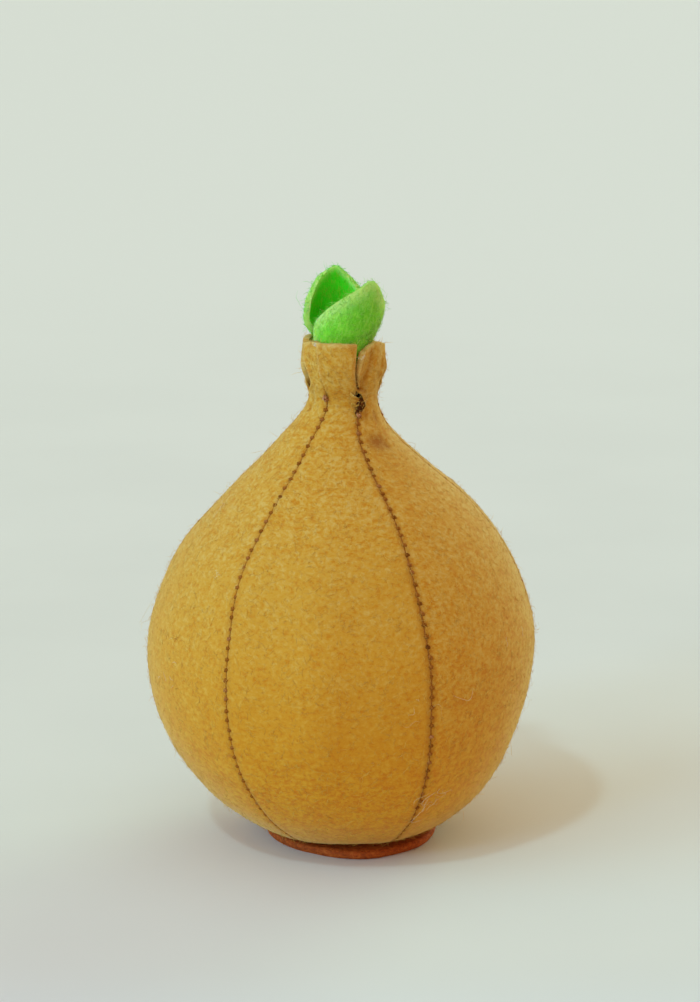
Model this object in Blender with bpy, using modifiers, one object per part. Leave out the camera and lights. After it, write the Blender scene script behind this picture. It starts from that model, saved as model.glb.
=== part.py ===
"""A toy onion sewn from wool felt and stuffed with fibre, at its real size in metres, +Z up.

The origin is under the middle of the body, on the surface that the toy stands on. The toy faces -Y,
and azimuths are measured from there, growing towards +X. Six gores make the body. Each is one piece
of felt that runs from under the base to the neck and ends in a free flap, and the six flaps are the
collar that holds the two leaves.
"""

import math

import bmesh
import bpy
from mathutils import Vector

MM = 0.001

# Cloth, thread and the room between neighbours
FELT_THICKNESS = 1.3 * MM
THREAD_RADIUS = 0.2 * MM
SEAM_HALF_GAP = 0.4 * MM
STUFFING_GAP = 0.5 * MM

# Half outline of the body and collar, as radius and height in millimetres, from under the base upwards
OUTLINE = (
    (2.0, 2.3),
    (10.0, 2.3),
    (16.0, 2.5),
    (20.8, 3.3),
    (26.0, 6.6),
    (31.7, 12.0),
    (37.3, 20.8),
    (41.1, 31.4),
    (42.5, 43.5),
    (40.6, 53.5),
    (35.5, 65.0),
    (26.9, 75.6),
    (16.8, 85.1),
    (10.2, 92.2),
    (7.4, 97.3),
    (8.3, 101.0),
    (9.0, 105.0),
    (8.5, 110.6),
)
NECK = 14  # place of the neck in the outline
RIM = len(OUTLINE) - 1
STEPS_PER_SPAN = 2

# How far the hand-stuffed body leans towards +X at each height, in millimetres
LEAN = (
    (0.0, 1.9),
    (12.0, 0.5),
    (24.0, -0.5),
    (36.0, -0.6),
    (50.0, 0.0),
    (64.0, 0.3),
    (75.0, 0.8),
    (83.0, 0.0),
    (90.0, -0.6),
    (97.0, 0.0),
    (111.0, 0.1),
)

# Azimuth of each seam in degrees at heights in millimetres: the two seams in front wander a little
SEAMS = (
    (
        (0.0, -30.0),
        (20.0, -32.8),
        (47.0, -34.5),
        (76.0, -37.8),
        (90.0, -31.0),
        (98.0, -27.0),
        (110.6, -40.0),
    ),
    (
        (0.0, 25.0),
        (20.0, 28.5),
        (42.0, 26.7),
        (61.0, 24.8),
        (88.0, 22.0),
        (98.0, 24.0),
        (104.0, 20.0),
        (110.6, 21.0),
    ),
    ((0.0, 86.0), (110.6, 86.0)),
    ((0.0, 146.0), (110.6, 144.0)),
    ((0.0, 206.0), (110.6, 208.0)),
    ((0.0, 266.0), (110.6, 266.0)),
)

# Shape of a gore: flatter than the round between its seams, with a narrow lip that turns in at each
GORE_COLUMNS = 8
GORE_FLATNESS = 0.0185
LIP_WIDTH = 1.2 * MM
LIP_DEPTH = 0.5 * MM
LIP_MOST_SHARE = 0.3

# For each gore's flap: how far its left and right edges curl out at the rim, and its left corner's drop
FLAPS = (
    (0.4 * MM, 0.2 * MM, 0.0 * MM),
    (1.1 * MM, 0.5 * MM, 1.3 * MM),
    (0.7 * MM, 0.4 * MM, 0.0 * MM),
    (0.4 * MM, 0.7 * MM, 0.3 * MM),
    (0.5 * MM, 0.8 * MM, 0.0 * MM),
    (0.8 * MM, 0.3 * MM, 0.0 * MM),
)
CURL_POWER = 5
FLAP_OPENING = 0.25 * MM
SHARP_ANGLE = math.radians(50)  # faces that meet more steeply than this keep a crisp edge

# Leaf sections, from the foot in the neck to the tip: height, centre X, centre Y and tube radius in
# millimetres, then how far the section reaches round to its left and right, in degrees
LEAF_FRONT = (
    (96.6, 0.0, -0.35, 4.3, 58, 58),
    (100.5, 0.0, -0.5, 4.9, 66, 66),
    (105.0, 0.0, -0.6, 5.7, 76, 76),
    (110.6, 0.0, -0.6, 5.5, 84, 84),
    (113.0, 0.75, -0.6, 6.1, 89, 89),
    (115.6, 1.7, -0.6, 6.3, 66, 90),
    (117.8, 2.3, -0.5, 6.3, 45, 82),
    (120.2, 3.0, -0.3, 6.2, 20, 56),
    (122.3, 3.5, 0.0, 6.0, -4, 40),
    (123.7, 3.65, 0.1, 5.9, -21, 27),
)
LEAF_BACK = (
    (96.6, 0.0, 0.35, 4.3, 58, 58),
    (100.5, 0.0, 0.5, 4.9, 66, 66),
    (105.0, -0.1, 0.6, 5.7, 76, 76),
    (110.6, 0.1, 0.6, 5.5, 84, 84),
    (113.8, -1.2, 0.6, 6.25, 88, 94),
    (117.3, -1.1, 0.7, 6.3, 84, 88),
    (119.3, -1.1, 0.8, 6.3, 60, 64),
    (121.6, -1.1, 0.9, 6.2, 36, 48),
    (123.2, -1.2, 1.0, 6.1, 21, 32),
    (124.9, -1.3, 1.1, 6.0, 4, 4),
)
LEAF_COLUMNS = 8
LEAF_ROWS = 16

# Base disc
DISC_RADIUS = 18.6 * MM
DISC_THICKNESS = 1.8 * MM
DISC_SIDES = 48
DISC_EDGE = 0.4 * MM

# Stuffing, which ends under the leaves' feet
STUFFING_TOP = 13.6  # place in the outline
STUFFING_SIDES = 24
SLOPE_STEP = 0.1  # spans of the outline over which its slope is read
MERGE_DISTANCE = 0.01 * MM

# Seam thread: where in the outline it starts and ends, and the knot at its upper end
THREAD_START = 0.6
THREAD_END = 14.5
THREAD_DEPTH = 0.1 * MM
KNOT_LENGTH = 0.8  # spans of the outline
KNOT_SWELL = 2.2
KNOT_RISE = 1.5  # the knot's centre comes out this many times as far as its radius grows

# Colours, as linear RGB
MUSTARD = (0.50, 0.27, 0.045, 1.0)
GREEN = (0.12, 0.42, 0.03, 1.0)
RUST = (0.13, 0.028, 0.007, 1.0)
THREAD_BROWN = (0.10, 0.035, 0.012, 1.0)
WHITE = (0.80, 0.79, 0.75, 1.0)


def smooth(stations, position, column=1):
    """Reads a smooth curve through the stations, whose first column is the position."""
    last = len(stations) - 1
    span = 0
    while span < last - 1 and position > stations[span + 1][0]:
        span += 1

    def slope(index):
        low = stations[max(index - 1, 0)]
        high = stations[min(index + 1, last)]
        return (high[column] - low[column]) / (high[0] - low[0])

    start, end = stations[span], stations[span + 1]
    width = end[0] - start[0]
    t = min(max((position - start[0]) / width, 0.0), 1.0)
    rise = end[column] - start[column]
    first, second = slope(span) * width, slope(span + 1) * width
    return start[column] + t * (
        first + t * (3 * rise - 2 * first - second + t * (first + second - 2 * rise))
    )


OUTLINE_STATIONS = [(place, radius, height) for place, (radius, height) in enumerate(OUTLINE)]


def outline(place):
    """Radius and height, in metres, at a place counted in outline points from under the base."""
    return smooth(OUTLINE_STATIONS, place, 1) * MM, smooth(OUTLINE_STATIONS, place, 2) * MM


def lean(height):
    return smooth(LEAN, height / MM) * MM


def seam_azimuth(number, height):
    """Azimuth in radians of a seam at a height; the seam after the sixth is the first again."""
    turns, index = divmod(number, len(SEAMS))
    return math.radians(smooth(SEAMS[index], height / MM) + 360.0 * turns)


def on_round(azimuth, radius, height):
    """A point of the leaning body."""
    return Vector((lean(height) + radius * math.sin(azimuth), -radius * math.cos(azimuth), height))


def flap_share(place):
    """0 below the neck, growing to 1 at the collar's rim."""
    return max(0.0, (place - NECK) / (RIM - NECK))


def felt_material(name, colour, roughness=0.95):
    material = bpy.data.materials.new(name)
    material.use_nodes = True
    shader = material.node_tree.nodes["Principled BSDF"]
    shader.inputs["Base Color"].default_value = colour
    shader.inputs["Roughness"].default_value = roughness
    shader.inputs["Metallic"].default_value = 0.0
    material.diffuse_color = colour
    return material


def add_object(name, bm, material, collection):
    mesh = bpy.data.meshes.new(name)
    bm.to_mesh(mesh)
    bm.free()
    mesh.materials.append(material)
    mesh.shade_smooth()
    mesh.set_sharp_from_angle(angle=SHARP_ANGLE)
    obj = bpy.data.objects.new(name, mesh)
    collection.objects.link(obj)
    return obj


def thicken(obj, offset):
    """Gives an open sheet its felt thickness: offset -1 puts it all behind the face, 0 on both sides."""
    wall = obj.modifiers.new("Felt", "SOLIDIFY")
    wall.thickness = FELT_THICKNESS
    wall.offset = offset
    wall.use_even_offset = False
    wall.use_rim = True


def gore_point(index, across, place):
    """A point of a gore's outer face: across runs from -1 at its left seam to 1 at its right seam."""
    radius, height = outline(place)
    left, right = seam_azimuth(index, height), seam_azimuth(index + 1, height)
    middle, half = (left + right) / 2, (right - left) / 2
    open_share = flap_share(place)
    left_curl, right_curl, corner_drop = FLAPS[index]
    curl = (left_curl if across < 0 else right_curl) * open_share

    # The felt's cut edge turns towards the neighbour where the flap curls out, so the flap is narrower
    half_width = half * radius - SEAM_HALF_GAP
    lip = min(LIP_WIDTH, LIP_MOST_SHARE * half_width)
    tilt = math.atan2(curl, lip)
    half_width -= FELT_THICKNESS * math.sin(tilt) + FLAP_OPENING * open_share

    lip_start = 1 - 2 / GORE_COLUMNS
    if abs(across) > lip_start:
        distance = half_width - lip * (1 - abs(across)) / (1 - lip_start)
        sunk = LIP_DEPTH * (abs(across) - lip_start) / (1 - lip_start) * (1 - open_share)
    else:
        distance = (half_width - lip) * abs(across) / lip_start
        sunk = 0.0
    turn = math.copysign(distance, across) / radius
    flattened = radius * (1 - GORE_FLATNESS * (1 - (turn / half) ** 2))
    flattened += curl * abs(across) ** CURL_POWER - sunk
    drop = corner_drop * max(0.0, -across) ** 2 * open_share**2
    return on_round(middle + turn, flattened, height) - Vector((0.0, 0.0, drop))


def add_gore(index, material, collection):
    rows = RIM * STEPS_PER_SPAN
    bm = bmesh.new()
    bmesh.ops.create_grid(bm, x_segments=GORE_COLUMNS, y_segments=rows, size=1.0)
    for vert in bm.verts:
        across, place = vert.co.x, (vert.co.y + 1) / 2 * RIM
        vert.co = gore_point(index, across, place)
    panel = add_object(f"panel_{index + 1}", bm, material, collection)
    thicken(panel, -1.0)


def add_leaf(name, sections, facing, material, collection):
    """A cupped leaf whose convex side faces the azimuth given."""
    foot, tip = sections[0][0], sections[-1][0]
    bm = bmesh.new()
    bmesh.ops.create_grid(bm, x_segments=LEAF_COLUMNS, y_segments=LEAF_ROWS, size=1.0)
    for vert in bm.verts:
        height = foot + (tip - foot) * (vert.co.y + 1) / 2
        section = [smooth(sections, height, column) for column in range(1, len(sections[0]))]
        centre_x, centre_y, radius, left, right = section
        share = (vert.co.x + 1) / 2
        azimuth = facing + math.radians(-left * (1 - share) + right * share)
        vert.co = Vector(
            (centre_x + radius * math.sin(azimuth), centre_y - radius * math.cos(azimuth), height)
        ) * MM
    leaf = add_object(name, bm, material, collection)
    thicken(leaf, 0.0)


def add_disc(material, collection):
    bm = bmesh.new()
    made = bmesh.ops.create_cone(
        bm,
        cap_ends=True,
        segments=DISC_SIDES,
        radius1=DISC_RADIUS,
        radius2=DISC_RADIUS,
        depth=DISC_THICKNESS,
    )
    bmesh.ops.translate(bm, verts=made["verts"], vec=(lean(0.0), 0.0, DISC_THICKNESS / 2))
    rims = [edge for edge in bm.edges if abs(edge.verts[0].co.z - edge.verts[1].co.z) < DISC_EDGE]
    bmesh.ops.bevel(
        bm, geom=rims, offset=DISC_EDGE, segments=2, profile=0.5, affect="EDGES", clamp_overlap=True
    )
    add_object("base_disc", bm, material, collection)


def stuffing_profile():
    """Half section of the filling, down its outer side, kept clear of the felt around it."""
    inset = FELT_THICKNESS + STUFFING_GAP
    points = []
    steps = round(STUFFING_TOP * STEPS_PER_SPAN)
    for step in range(steps + 1):
        place = STUFFING_TOP * step / steps
        radius, height = outline(place)
        ahead, above = outline(min(place + SLOPE_STEP, RIM))
        behind, below = outline(max(place - SLOPE_STEP, 0.0))
        along = Vector((ahead - behind, above - below)).normalized()
        flat_radius = radius * (1 - GORE_FLATNESS)
        points.append((max(flat_radius - inset * along.y, 0.0), height + inset * along.x))
    points.reverse()
    return [(0.0, points[0][1])] + points + [(0.0, points[-1][1])]


def add_stuffing(material, collection):
    bm = bmesh.new()
    verts = [bm.verts.new((radius, 0.0, height)) for radius, height in stuffing_profile()]
    edges = [bm.edges.new(pair) for pair in zip(verts, verts[1:])]
    bmesh.ops.spin(
        bm,
        geom=verts + edges,
        cent=(0, 0, 0),
        axis=(0, 0, 1),
        angle=math.tau,
        steps=STUFFING_SIDES,
        use_merge=True,
    )
    bmesh.ops.remove_doubles(bm, verts=bm.verts, dist=MERGE_DISTANCE)
    bmesh.ops.recalc_face_normals(bm, faces=bm.faces)
    for vert in bm.verts:
        vert.co.x += lean(vert.co.z)
    add_object("stuffing", bm, material, collection)


def add_thread(index, material, collection):
    """The sewing thread of one seam, lying between the gores' lips and knotted at its upper end."""
    steps = round((THREAD_END - THREAD_START) * STEPS_PER_SPAN)
    curve = bpy.data.curves.new(f"seam_thread_{index + 1}", "CURVE")
    curve.dimensions = "3D"
    curve.bevel_depth = THREAD_RADIUS
    curve.bevel_resolution = 2
    curve.use_fill_caps = True
    spline = curve.splines.new("POLY")
    spline.points.add(steps)
    for step, point in enumerate(spline.points):
        place = THREAD_START + (THREAD_END - THREAD_START) * step / steps
        radius, height = outline(place)
        knot = max(0.0, 1 - abs(place - THREAD_END + KNOT_LENGTH / 2) / KNOT_LENGTH)
        swell = 1 + (KNOT_SWELL - 1) * knot
        raised = THREAD_RADIUS * (swell - 1) * KNOT_RISE - THREAD_DEPTH
        point.co = (*on_round(seam_azimuth(index, height), radius + raised, height), 1.0)
        point.radius = swell
    curve.materials.append(material)
    thread = bpy.data.objects.new(curve.name, curve)
    collection.objects.link(thread)


def main():
    for obj in list(bpy.data.objects):
        bpy.data.objects.remove(obj, do_unlink=True)
    toy = bpy.data.collections.new("felt_onion")
    bpy.context.scene.collection.children.link(toy)

    mustard = felt_material("Mustard felt", MUSTARD)
    green = felt_material("Green felt", GREEN)
    rust = felt_material("Rust felt", RUST)
    brown = felt_material("Brown thread", THREAD_BROWN, 0.7)
    white = felt_material("White filling", WHITE)

    for index in range(len(SEAMS)):
        add_gore(index, mustard, toy)
        add_thread(index, brown, toy)
    add_leaf("leaf_front", LEAF_FRONT, 0.0, green, toy)
    add_leaf("leaf_back", LEAF_BACK, math.pi, green, toy)
    add_disc(rust, toy)
    add_stuffing(white, toy)


main()
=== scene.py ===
import math

import bmesh
import bpy
import numpy as np
from bpy.props import FloatProperty, FloatVectorProperty, IntProperty, PointerProperty
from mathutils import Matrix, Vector, noise


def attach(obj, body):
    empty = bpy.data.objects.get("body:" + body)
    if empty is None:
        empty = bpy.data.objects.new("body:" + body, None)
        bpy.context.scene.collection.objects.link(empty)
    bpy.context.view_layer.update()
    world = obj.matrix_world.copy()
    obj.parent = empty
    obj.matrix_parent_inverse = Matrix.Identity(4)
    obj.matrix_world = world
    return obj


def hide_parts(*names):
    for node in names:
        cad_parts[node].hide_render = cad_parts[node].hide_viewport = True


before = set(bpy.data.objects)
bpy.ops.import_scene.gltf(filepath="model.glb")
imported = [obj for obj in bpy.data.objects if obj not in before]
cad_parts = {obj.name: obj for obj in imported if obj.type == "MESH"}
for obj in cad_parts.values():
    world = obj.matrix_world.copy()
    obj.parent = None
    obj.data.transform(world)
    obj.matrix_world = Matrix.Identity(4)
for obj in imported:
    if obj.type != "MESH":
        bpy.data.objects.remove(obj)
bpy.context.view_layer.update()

bl_info = {
    "name": "Felt Onion",
    "version": (1, 0, 0),
    "blender": (4, 5, 0),
    "location": "3D View > Sidebar > Felt Onion",
    "description": "Sews and stuffs a wool-felt onion on its packed frame",
    "category": "Add Mesh",
}

MM = 0.001
FLOOR_CLEARANCE = 0.06 * MM
FRONT, BACK = 0.0, math.pi
FELT_THICKNESS = 1.3 * MM

# Half outline of the body and collar, as radius and height in millimetres, from under the base upwards
OUTLINE = (
    (2.0, 2.3), (10.0, 2.3), (16.0, 2.5), (20.8, 3.3), (26.0, 6.6), (31.7, 12.0),
    (37.3, 20.8), (41.1, 31.4), (42.5, 43.5), (40.6, 53.5), (35.5, 65.0), (26.9, 75.6),
    (16.8, 85.1), (10.2, 92.2), (7.6, 97.3), (8.5, 101.0), (9.2, 105.0), (8.9, 110.6),
)
NECK = 14  # place of the neck in the outline
RIM = len(OUTLINE) - 1
SLOPE_STEP = 0.1  # spans of the outline over which its slope is read

# How far the hand-stuffed body leans towards +X at each height, in millimetres
LEAN = (
    (0.0, 1.9), (12.0, 0.5), (24.0, -0.5), (36.0, -0.6), (50.0, 0.0), (64.0, 0.3),
    (75.0, 0.8), (83.0, 0.0), (90.0, -0.6), (97.0, 0.15), (111.0, 0.5),
)

# Azimuth of each seam in degrees at heights in millimetres, from the front towards +X
SEAMS = (
    (
        (0.0, -30.0), (20.0, -32.8), (47.0, -34.5), (76.0, -37.8), (90.0, -31.0),
        (98.0, -27.0), (110.6, -40.0),
    ),
    (
        (0.0, 25.0), (20.0, 28.5), (42.0, 26.7), (61.0, 24.8), (88.0, 22.0), (93.0, 23.0),
        (97.5, 27.5), (101.0, 23.0), (104.0, 20.0), (107.2, 20.5), (110.6, 22.0),
    ),
    ((0.0, 86.0), (110.6, 86.0)),
    ((0.0, 146.0), (110.6, 144.0)),
    ((0.0, 206.0), (110.6, 208.0)),
    (
        (0.0, 266.0), (94.0, 266.0), (98.0, 271.0), (100.8, 297.0), (104.0, 303.0),
        (107.2, 290.0), (110.6, 284.0),
    ),
)

# A panel's grid: rows by length of felt, columns across it, and the columns of each turned border
BODY_ROW = 0.9 * MM
COLLAR_ROW = 0.45 * MM
COLUMNS = 52
BORDER_COLUMNS = 8
GORE_FLATNESS = 0.0185  # a gore is this share nearer the axis at its middle than at its seams
BORDER_WIDTH = 1.9 * MM  # seam allowance, turned in below the neck and out in the collar
COLLAR_BORDER = 0.63  # share of that width that is turned in the collar
# Notch cut in each border where a seam opens: its place, its half length and its share of the border
NOTCH = (14.8, 0.5, 0.7)
BEND_RADIUS = 0.35 * MM
CLOSED_TURN = -90.0
CLOSED_GAP = 0.02  # millimetres from the seam's line
OPENING_START = 14.15  # place where a seam's sewing ends and its edges begin to turn out
OPENING_MIDDLE = 15.6
SEAM_DIP = 0.16 * MM
SEAM_DIP_WIDTH = 1.2 * MM
# Painted shade: how dark the felt is painted down in each sewn seam
SEAM_SHADES = (0.25, 0.5, 0.1, 0.4, 0.4, 0.1)  # how dark the felt is down in each sewn seam
SEAM_SHADE_WIDTH = 0.35 * MM
RIM_WIDTH = 0.7 * MM  # how far the pale loose wool of a cut edge reaches
HOLLOW_WIDTH = 2.3 * MM
BRUSHED = (1.0, 0.0, 0.0, 0.3, 0.3, 0.7)  # how smoothly each panel's belly is brushed
BRUSHED_FROM = (16 * MM, 34 * MM)  # heights over which the brushed belly begins
BRUSHED_TO = (84 * MM, 60 * MM)  # and over which it ends, from above
# Lumps of the stuffing under the felt: their share and size
LUMPS = ((0.72, 9 * MM), (0.2, 3.6 * MM), (0.08, 1.5 * MM))
CUT_ROUNDING = 0.16 * MM
SHOWN_IN_COLLAR = 103 * MM  # height above which the collar's inner side shows too
COLLAR_FIBRES = (98 * MM, 1.5)  # height above which loose fibres are denser, and by how much
INWARD_LIMIT = -0.2  # felt that faces the axis more than this isn't seen
CLOTH_STEP = 0.2  # metres from one panel to the next on the cloth map, so that no two look alike

# Each panel's left and right edge in the collar: its turn in degrees halfway up and at the rim, its
# distance from the seam's line at the same two places, and the hollow beside it, in millimetres
COLLAR_EDGES = (
    ((6, 4, -0.25, -0.25, 0.0), (-35, -25, 0.55, 0.4, 0.0)),
    ((10, 26, 0.25, 1.0, 0.6), (24, 14, 2.7, 0.3, 0.4)),
    ((12, 6, 0.1, 0.1, 0.3), (30, 20, 0.2, 0.1, 0.4)),
    ((40, 25, 0.2, 0.1, 0.4), (55, 40, 0.5, 0.4, 0.8)),
    ((50, 45, 0.5, 0.3, 0.7), (14, 8, 5.0, 1.9, 0.2)),
    ((12, 14, 0.1, 0.05, 0.2), (-12, -8, -0.1, -0.1, 0.0)),
)
# How far each flap droops at its left corner, middle and right corner, in millimetres
DROOPS = (
    (0.1, 0.0, 0.2), (3.4, 0.0, 1.3), (2.6, 2.4, 0.8),
    (0.3, 0.0, 0.5), (0.0, 0.0, 0.1), (0.9, 0.0, 0.1),
)
DROOP_POWER = 1.3

# Folds in the felt: points as azimuth in degrees and height, then half width and depth in
# millimetres, and how dark the painted shade in them is
CREASES = (
    (((24, 97.6), (27, 100.0), (32, 102.4), (39, 104.6), (45, 106.8), (46, 108.2)), 0.85, 0.75, 0.5),
    (((-62, 96.0), (-60, 98.5), (-56, 100.5)), 0.7, 0.35, 0.25),
)
CREASES_FROM = 80  # height in millimetres above which the folds lie

# Small hollows and wrinkles in the felt, and a long low ridge of stuffing: azimuth in degrees, height,
# half width and half height in millimetres, how deep the felt dips there, and how dark its painted shade is
MARKS = (
    (43.0, 89.6, 2.6, 1.4, 0.2, 1.3),
    (52.0, 88.7, 0.9, 0.8, 0.25, 1.1),
    (33.0, 90.6, 1.2, 0.6, 0.1, 0.5),
    (38.0, 95.0, 0.8, 1.3, 0.1, 0.6),
    (58.0, 94.3, 0.7, 1.2, 0.2, 0.7),
    (-2.0, 96.9, 2.6, 0.25, 0.16, 0.25),
    (4.0, 95.7, 2.2, 0.25, 0.12, 0.2),
    (-8.0, 93.9, 2.4, 0.25, 0.08, 0.1),
    (-7.0, 42.0, 6.5, 24.0, -1.1, 0.0),
)

# Leaf sections, from the foot in the neck to the tip: height, centre X, centre Y and tube radius in
# millimetres, then how far the section reaches round to its left and right, in degrees
LEAF_FRONT = (
    (96.6, 0.0, -0.35, 4.3, 58, 58),
    (100.5, 0.0, -0.5, 4.9, 66, 66),
    (105.0, 0.0, -0.6, 5.7, 76, 76),
    (110.6, 0.35, -0.6, 5.85, 86, 84),
    (113.0, 0.9, -0.6, 6.3, 89, 89),
    (115.6, 1.75, -0.6, 6.4, 66, 90),
    (117.8, 2.3, -0.5, 6.3, 45, 82),
    (120.2, 3.0, -0.3, 6.2, 20, 56),
    (122.3, 3.5, 0.0, 6.0, -6, 41),
    (123.5, 3.65, 0.1, 5.9, -19, 29),
)
LEAF_BACK = (
    (96.6, 0.0, 0.35, 4.3, 58, 58),
    (100.5, 0.0, 0.5, 4.9, 66, 66),
    (105.0, -0.1, 0.6, 5.7, 76, 76),
    (110.6, 0.1, 0.6, 5.5, 84, 84),
    (113.8, -1.2, 0.6, 6.25, 88, 94),
    (117.3, -1.1, 0.7, 6.3, 84, 88),
    (119.3, -1.1, 0.8, 6.3, 60, 64),
    (121.6, -1.1, 0.9, 6.2, 36, 48),
    (123.2, -1.2, 1.0, 6.1, 21, 32),
    (124.9, -1.3, 1.1, 6.0, 4, 4),
)
LEAVES = (("leaf_front", LEAF_FRONT, FRONT), ("leaf_back", LEAF_BACK, BACK))
LEAF_COLUMNS = 30
LEAF_ROWS = 60
# How far the painted highlight and pale wool of each leaf's cut edges reach
LEAF_EDGE_HIGHLIGHT_WIDTHS = (2.3 * MM, 0.8 * MM)
LEAF_LUMP_HEIGHT = 0.06 * MM
LEAF_LUMPS = ((0.6, 4 * MM, 3), (0.4, 1.6 * MM, 4))  # share, size and seed
# Painted shade of a leaf's foot down in the collar: how dark it is
LEAF_FOOT_SHADE = 1.4  # how dark a leaf's foot is
LEAF_ROUNDING = 0.3 * MM
LEAF_SHOWN = 108 * MM  # height above which a leaf's edges are cut edges in view
# Painted shade darkens the leaves below these heights
LEAF_SHADE = (104.5 * MM, 107.5 * MM)  # the leaves are dark below these heights, down in the collar
CUT_EDGE_SLOPE = 0.3  # a leaf's face that looks up or down more than this is a cut edge
CUT_EDGE_FIBRES = 2  # how many times more loose fibres it has

# Base disc and filling
DISC_RADIUS = 18.6 * MM
DISC_THICKNESS = 1.8 * MM
DISC_STEPS = 128
DISC_EDGE = 0.35 * MM  # rounding of the cut edge
DISC_SWELL = 0.1 * MM  # how far the middle of the edge stands out
DISC_WAVE, DISC_WAVES = 0.012, 3.1  # how uneven the edge is, and how often it goes in and out
DISC_LUMP_HEIGHT, DISC_LUMP_SIZE = 0.05 * MM, 2.5 * MM
DISC_SHOWN = 14 * MM  # radius beyond which the disc's top can be seen
DISC_FIBRES = 0.8  # length of its loose fibres as a share of the setting
# Where the disc's hand-cut edge bulges: azimuth and half width in degrees, and how far in millimetres
DISC_BULGES = ((8.0, 26.0, 2.3), (50.0, 18.0, 0.9), (160.0, 25.0, 0.6))
DISC_RINGS = 24
FILLING_TOP = 13.6  # place in the outline
FILLING_GAP = 0.5 * MM
FILLING_STEPS = 72
FILLING_ROWS = 5  # for each span of the outline
FILLING_LUMPS = ((0.7, 6 * MM, 7), (0.4, 2.2 * MM, 8))  # depth in millimetres, size and seed

# Sewing: places in the outline where a seam's thread starts and ends
THREAD_START = 0.6
THREAD_END = 14.3
SEAM_STEP = 0.05  # spans of the outline over which a seam's direction is read
WALK_STEP = 0.02  # spans of the outline walked at a time along a seam
# The stitches sink into the felt between these places, towards the base, and this deep in millimetres
FAINT_START, FAINT_END = 6.5, 4.5
FAINT_SINK = 0.25
STITCH_STEPS = 9
STITCH_SINK = 0.35 * MM
PLIES = 2
PLY_OFFSET, PLY_RADIUS = 0.5, 0.62  # shares of the thread's radius
PLY_TWIST = math.radians(55)  # from one point of the thread's line to the next
TANGLE_STEPS = 12
# The pale loose plies are painted highlights beside the stitches
PALE_PLY_SHARE = 0.25  # share of the stitches that show a pale loose ply beside them
RUN_TONE = 0.45
RUN_SHARE, PALE_SHARE, TANGLE_SHARE = 0.55, 0.25, 0.5  # these threads' radii as shares of a stitch's
# Low Tone is painted shade deep in the tangles, high Tone the pale ends and painted highlights
THREAD_TONE = 0.4  # Tone of the thread's main colour, between dark tangles at 0 and pale ends at 1

# Each seam's stitches: how far right of the seam they lie, how far they reach to each side, how much
# they slant and how far they stand up, in millimetres
STITCHES = (
    (-0.1, 0.26, 0.35, -0.08),
    (0.06, 0.3, -0.4, -0.04),
    (0.05, 0.22, 0.3, -0.4),
    (-0.05, 0.3, -0.3, -0.05),
    (0.05, 0.3, 0.3, -0.05),
    (-0.05, 0.22, 0.3, -0.4),
)
# How deep in each seam the thread runs on between its stitches, in millimetres
RUN_DEPTHS = (0.55, 0.38, 0.75, 0.45, 0.45, 0.75)
RUN_SPACING = 1.2 * MM
# How unevenly the stitches are sewn: the spread of their places, of their middles, heights and slants
# in millimetres and of their Tone, and how far each reaches as a share of the usual
PLACE_SPREAD, MIDDLE_SPREAD, LIFT_SPREAD, SLANT_SPREAD, TONE_SPREAD = 0.012, 0.06, 0.03, 0.2, 0.1
REACHES = (0.85, 1.15)
BURIED_SHARE, BURIED_LIFT = 0.07, -0.25  # share of the stitches that lie deep, and how deep
# A pale ply: how far aside and how long it is as shares of its stitch's reach, its slant and its Tone
PALE_ASIDE, PALE_REACH, PALE_SLANT, PALE_TONE = 1.2, 0.5, 0.8, 0.8
# Tangles at the tops of seams: seam, place in the outline, how far right of the seam, half length,
# half width, loops and Tone
TANGLES = (
    (1, 13.98, 0.12, 1.7, 0.42, 12, 0.0),
    (1, 13.5, -0.1, 0.55, 0.5, 5, 0.6),
    (0, 14.4, -0.1, 0.7, 0.4, 3, 0.8),
    (3, 14.1, 0.1, 0.8, 0.4, 4, 0.3),
    (4, 14.1, 0.0, 0.5, 0.4, 3, 0.4),
)
# Loops of a tangle: how far their middles scatter along and across, their half lengths and their half
# breadths, as shares of the tangle's own, then their turns and sweeps in radians, their heights and how
# much each rises and falls in millimetres, and the spread of their Tone
LOOP_SCATTER = (0.7, 0.5)
LOOP_LENGTHS, LOOP_BREADTHS = (0.35, 0.75), (0.5, 1.0)
LOOP_TURNS, LOOP_SWEEPS = (0.35, 0.35), (2.6, 5.4)
LOOP_HEIGHTS, LOOP_RISE = (0.0, 0.55), 0.2
LOOP_TONE_SPREAD = 0.12


def smooth(stations, position, column=1):
    """Reads a smooth curve through the stations, whose first column is the position."""
    last = len(stations) - 1
    span = 0
    while span < last - 1 and position > stations[span + 1][0]:
        span += 1

    def slope(index):
        low = stations[max(index - 1, 0)]
        high = stations[min(index + 1, last)]
        return (high[column] - low[column]) / (high[0] - low[0])

    start, end = stations[span], stations[span + 1]
    width = end[0] - start[0]
    t = min(max((position - start[0]) / width, 0.0), 1.0)
    rise = end[column] - start[column]
    first, second = slope(span) * width, slope(span + 1) * width
    return start[column] + t * (
        first + t * (3 * rise - 2 * first - second + t * (first + second - 2 * rise))
    )


OUTLINE_STATIONS = [(place, radius, height) for place, (radius, height) in enumerate(OUTLINE)]


def outline(place):
    """Radius and height, in metres, at a place counted in outline points from under the base."""
    return smooth(OUTLINE_STATIONS, place, 1) * MM, smooth(OUTLINE_STATIONS, place, 2) * MM


def outward(place):
    """The outline's own outward direction at a place, as parts along the radius and the height."""
    ahead = Vector(outline(min(place + SLOPE_STEP, RIM)))
    behind = Vector(outline(max(place - SLOPE_STEP, 0.0)))
    along = (ahead - behind).normalized()
    return along.y, -along.x


def lean(height):
    return smooth(LEAN, height / MM) * MM


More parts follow.
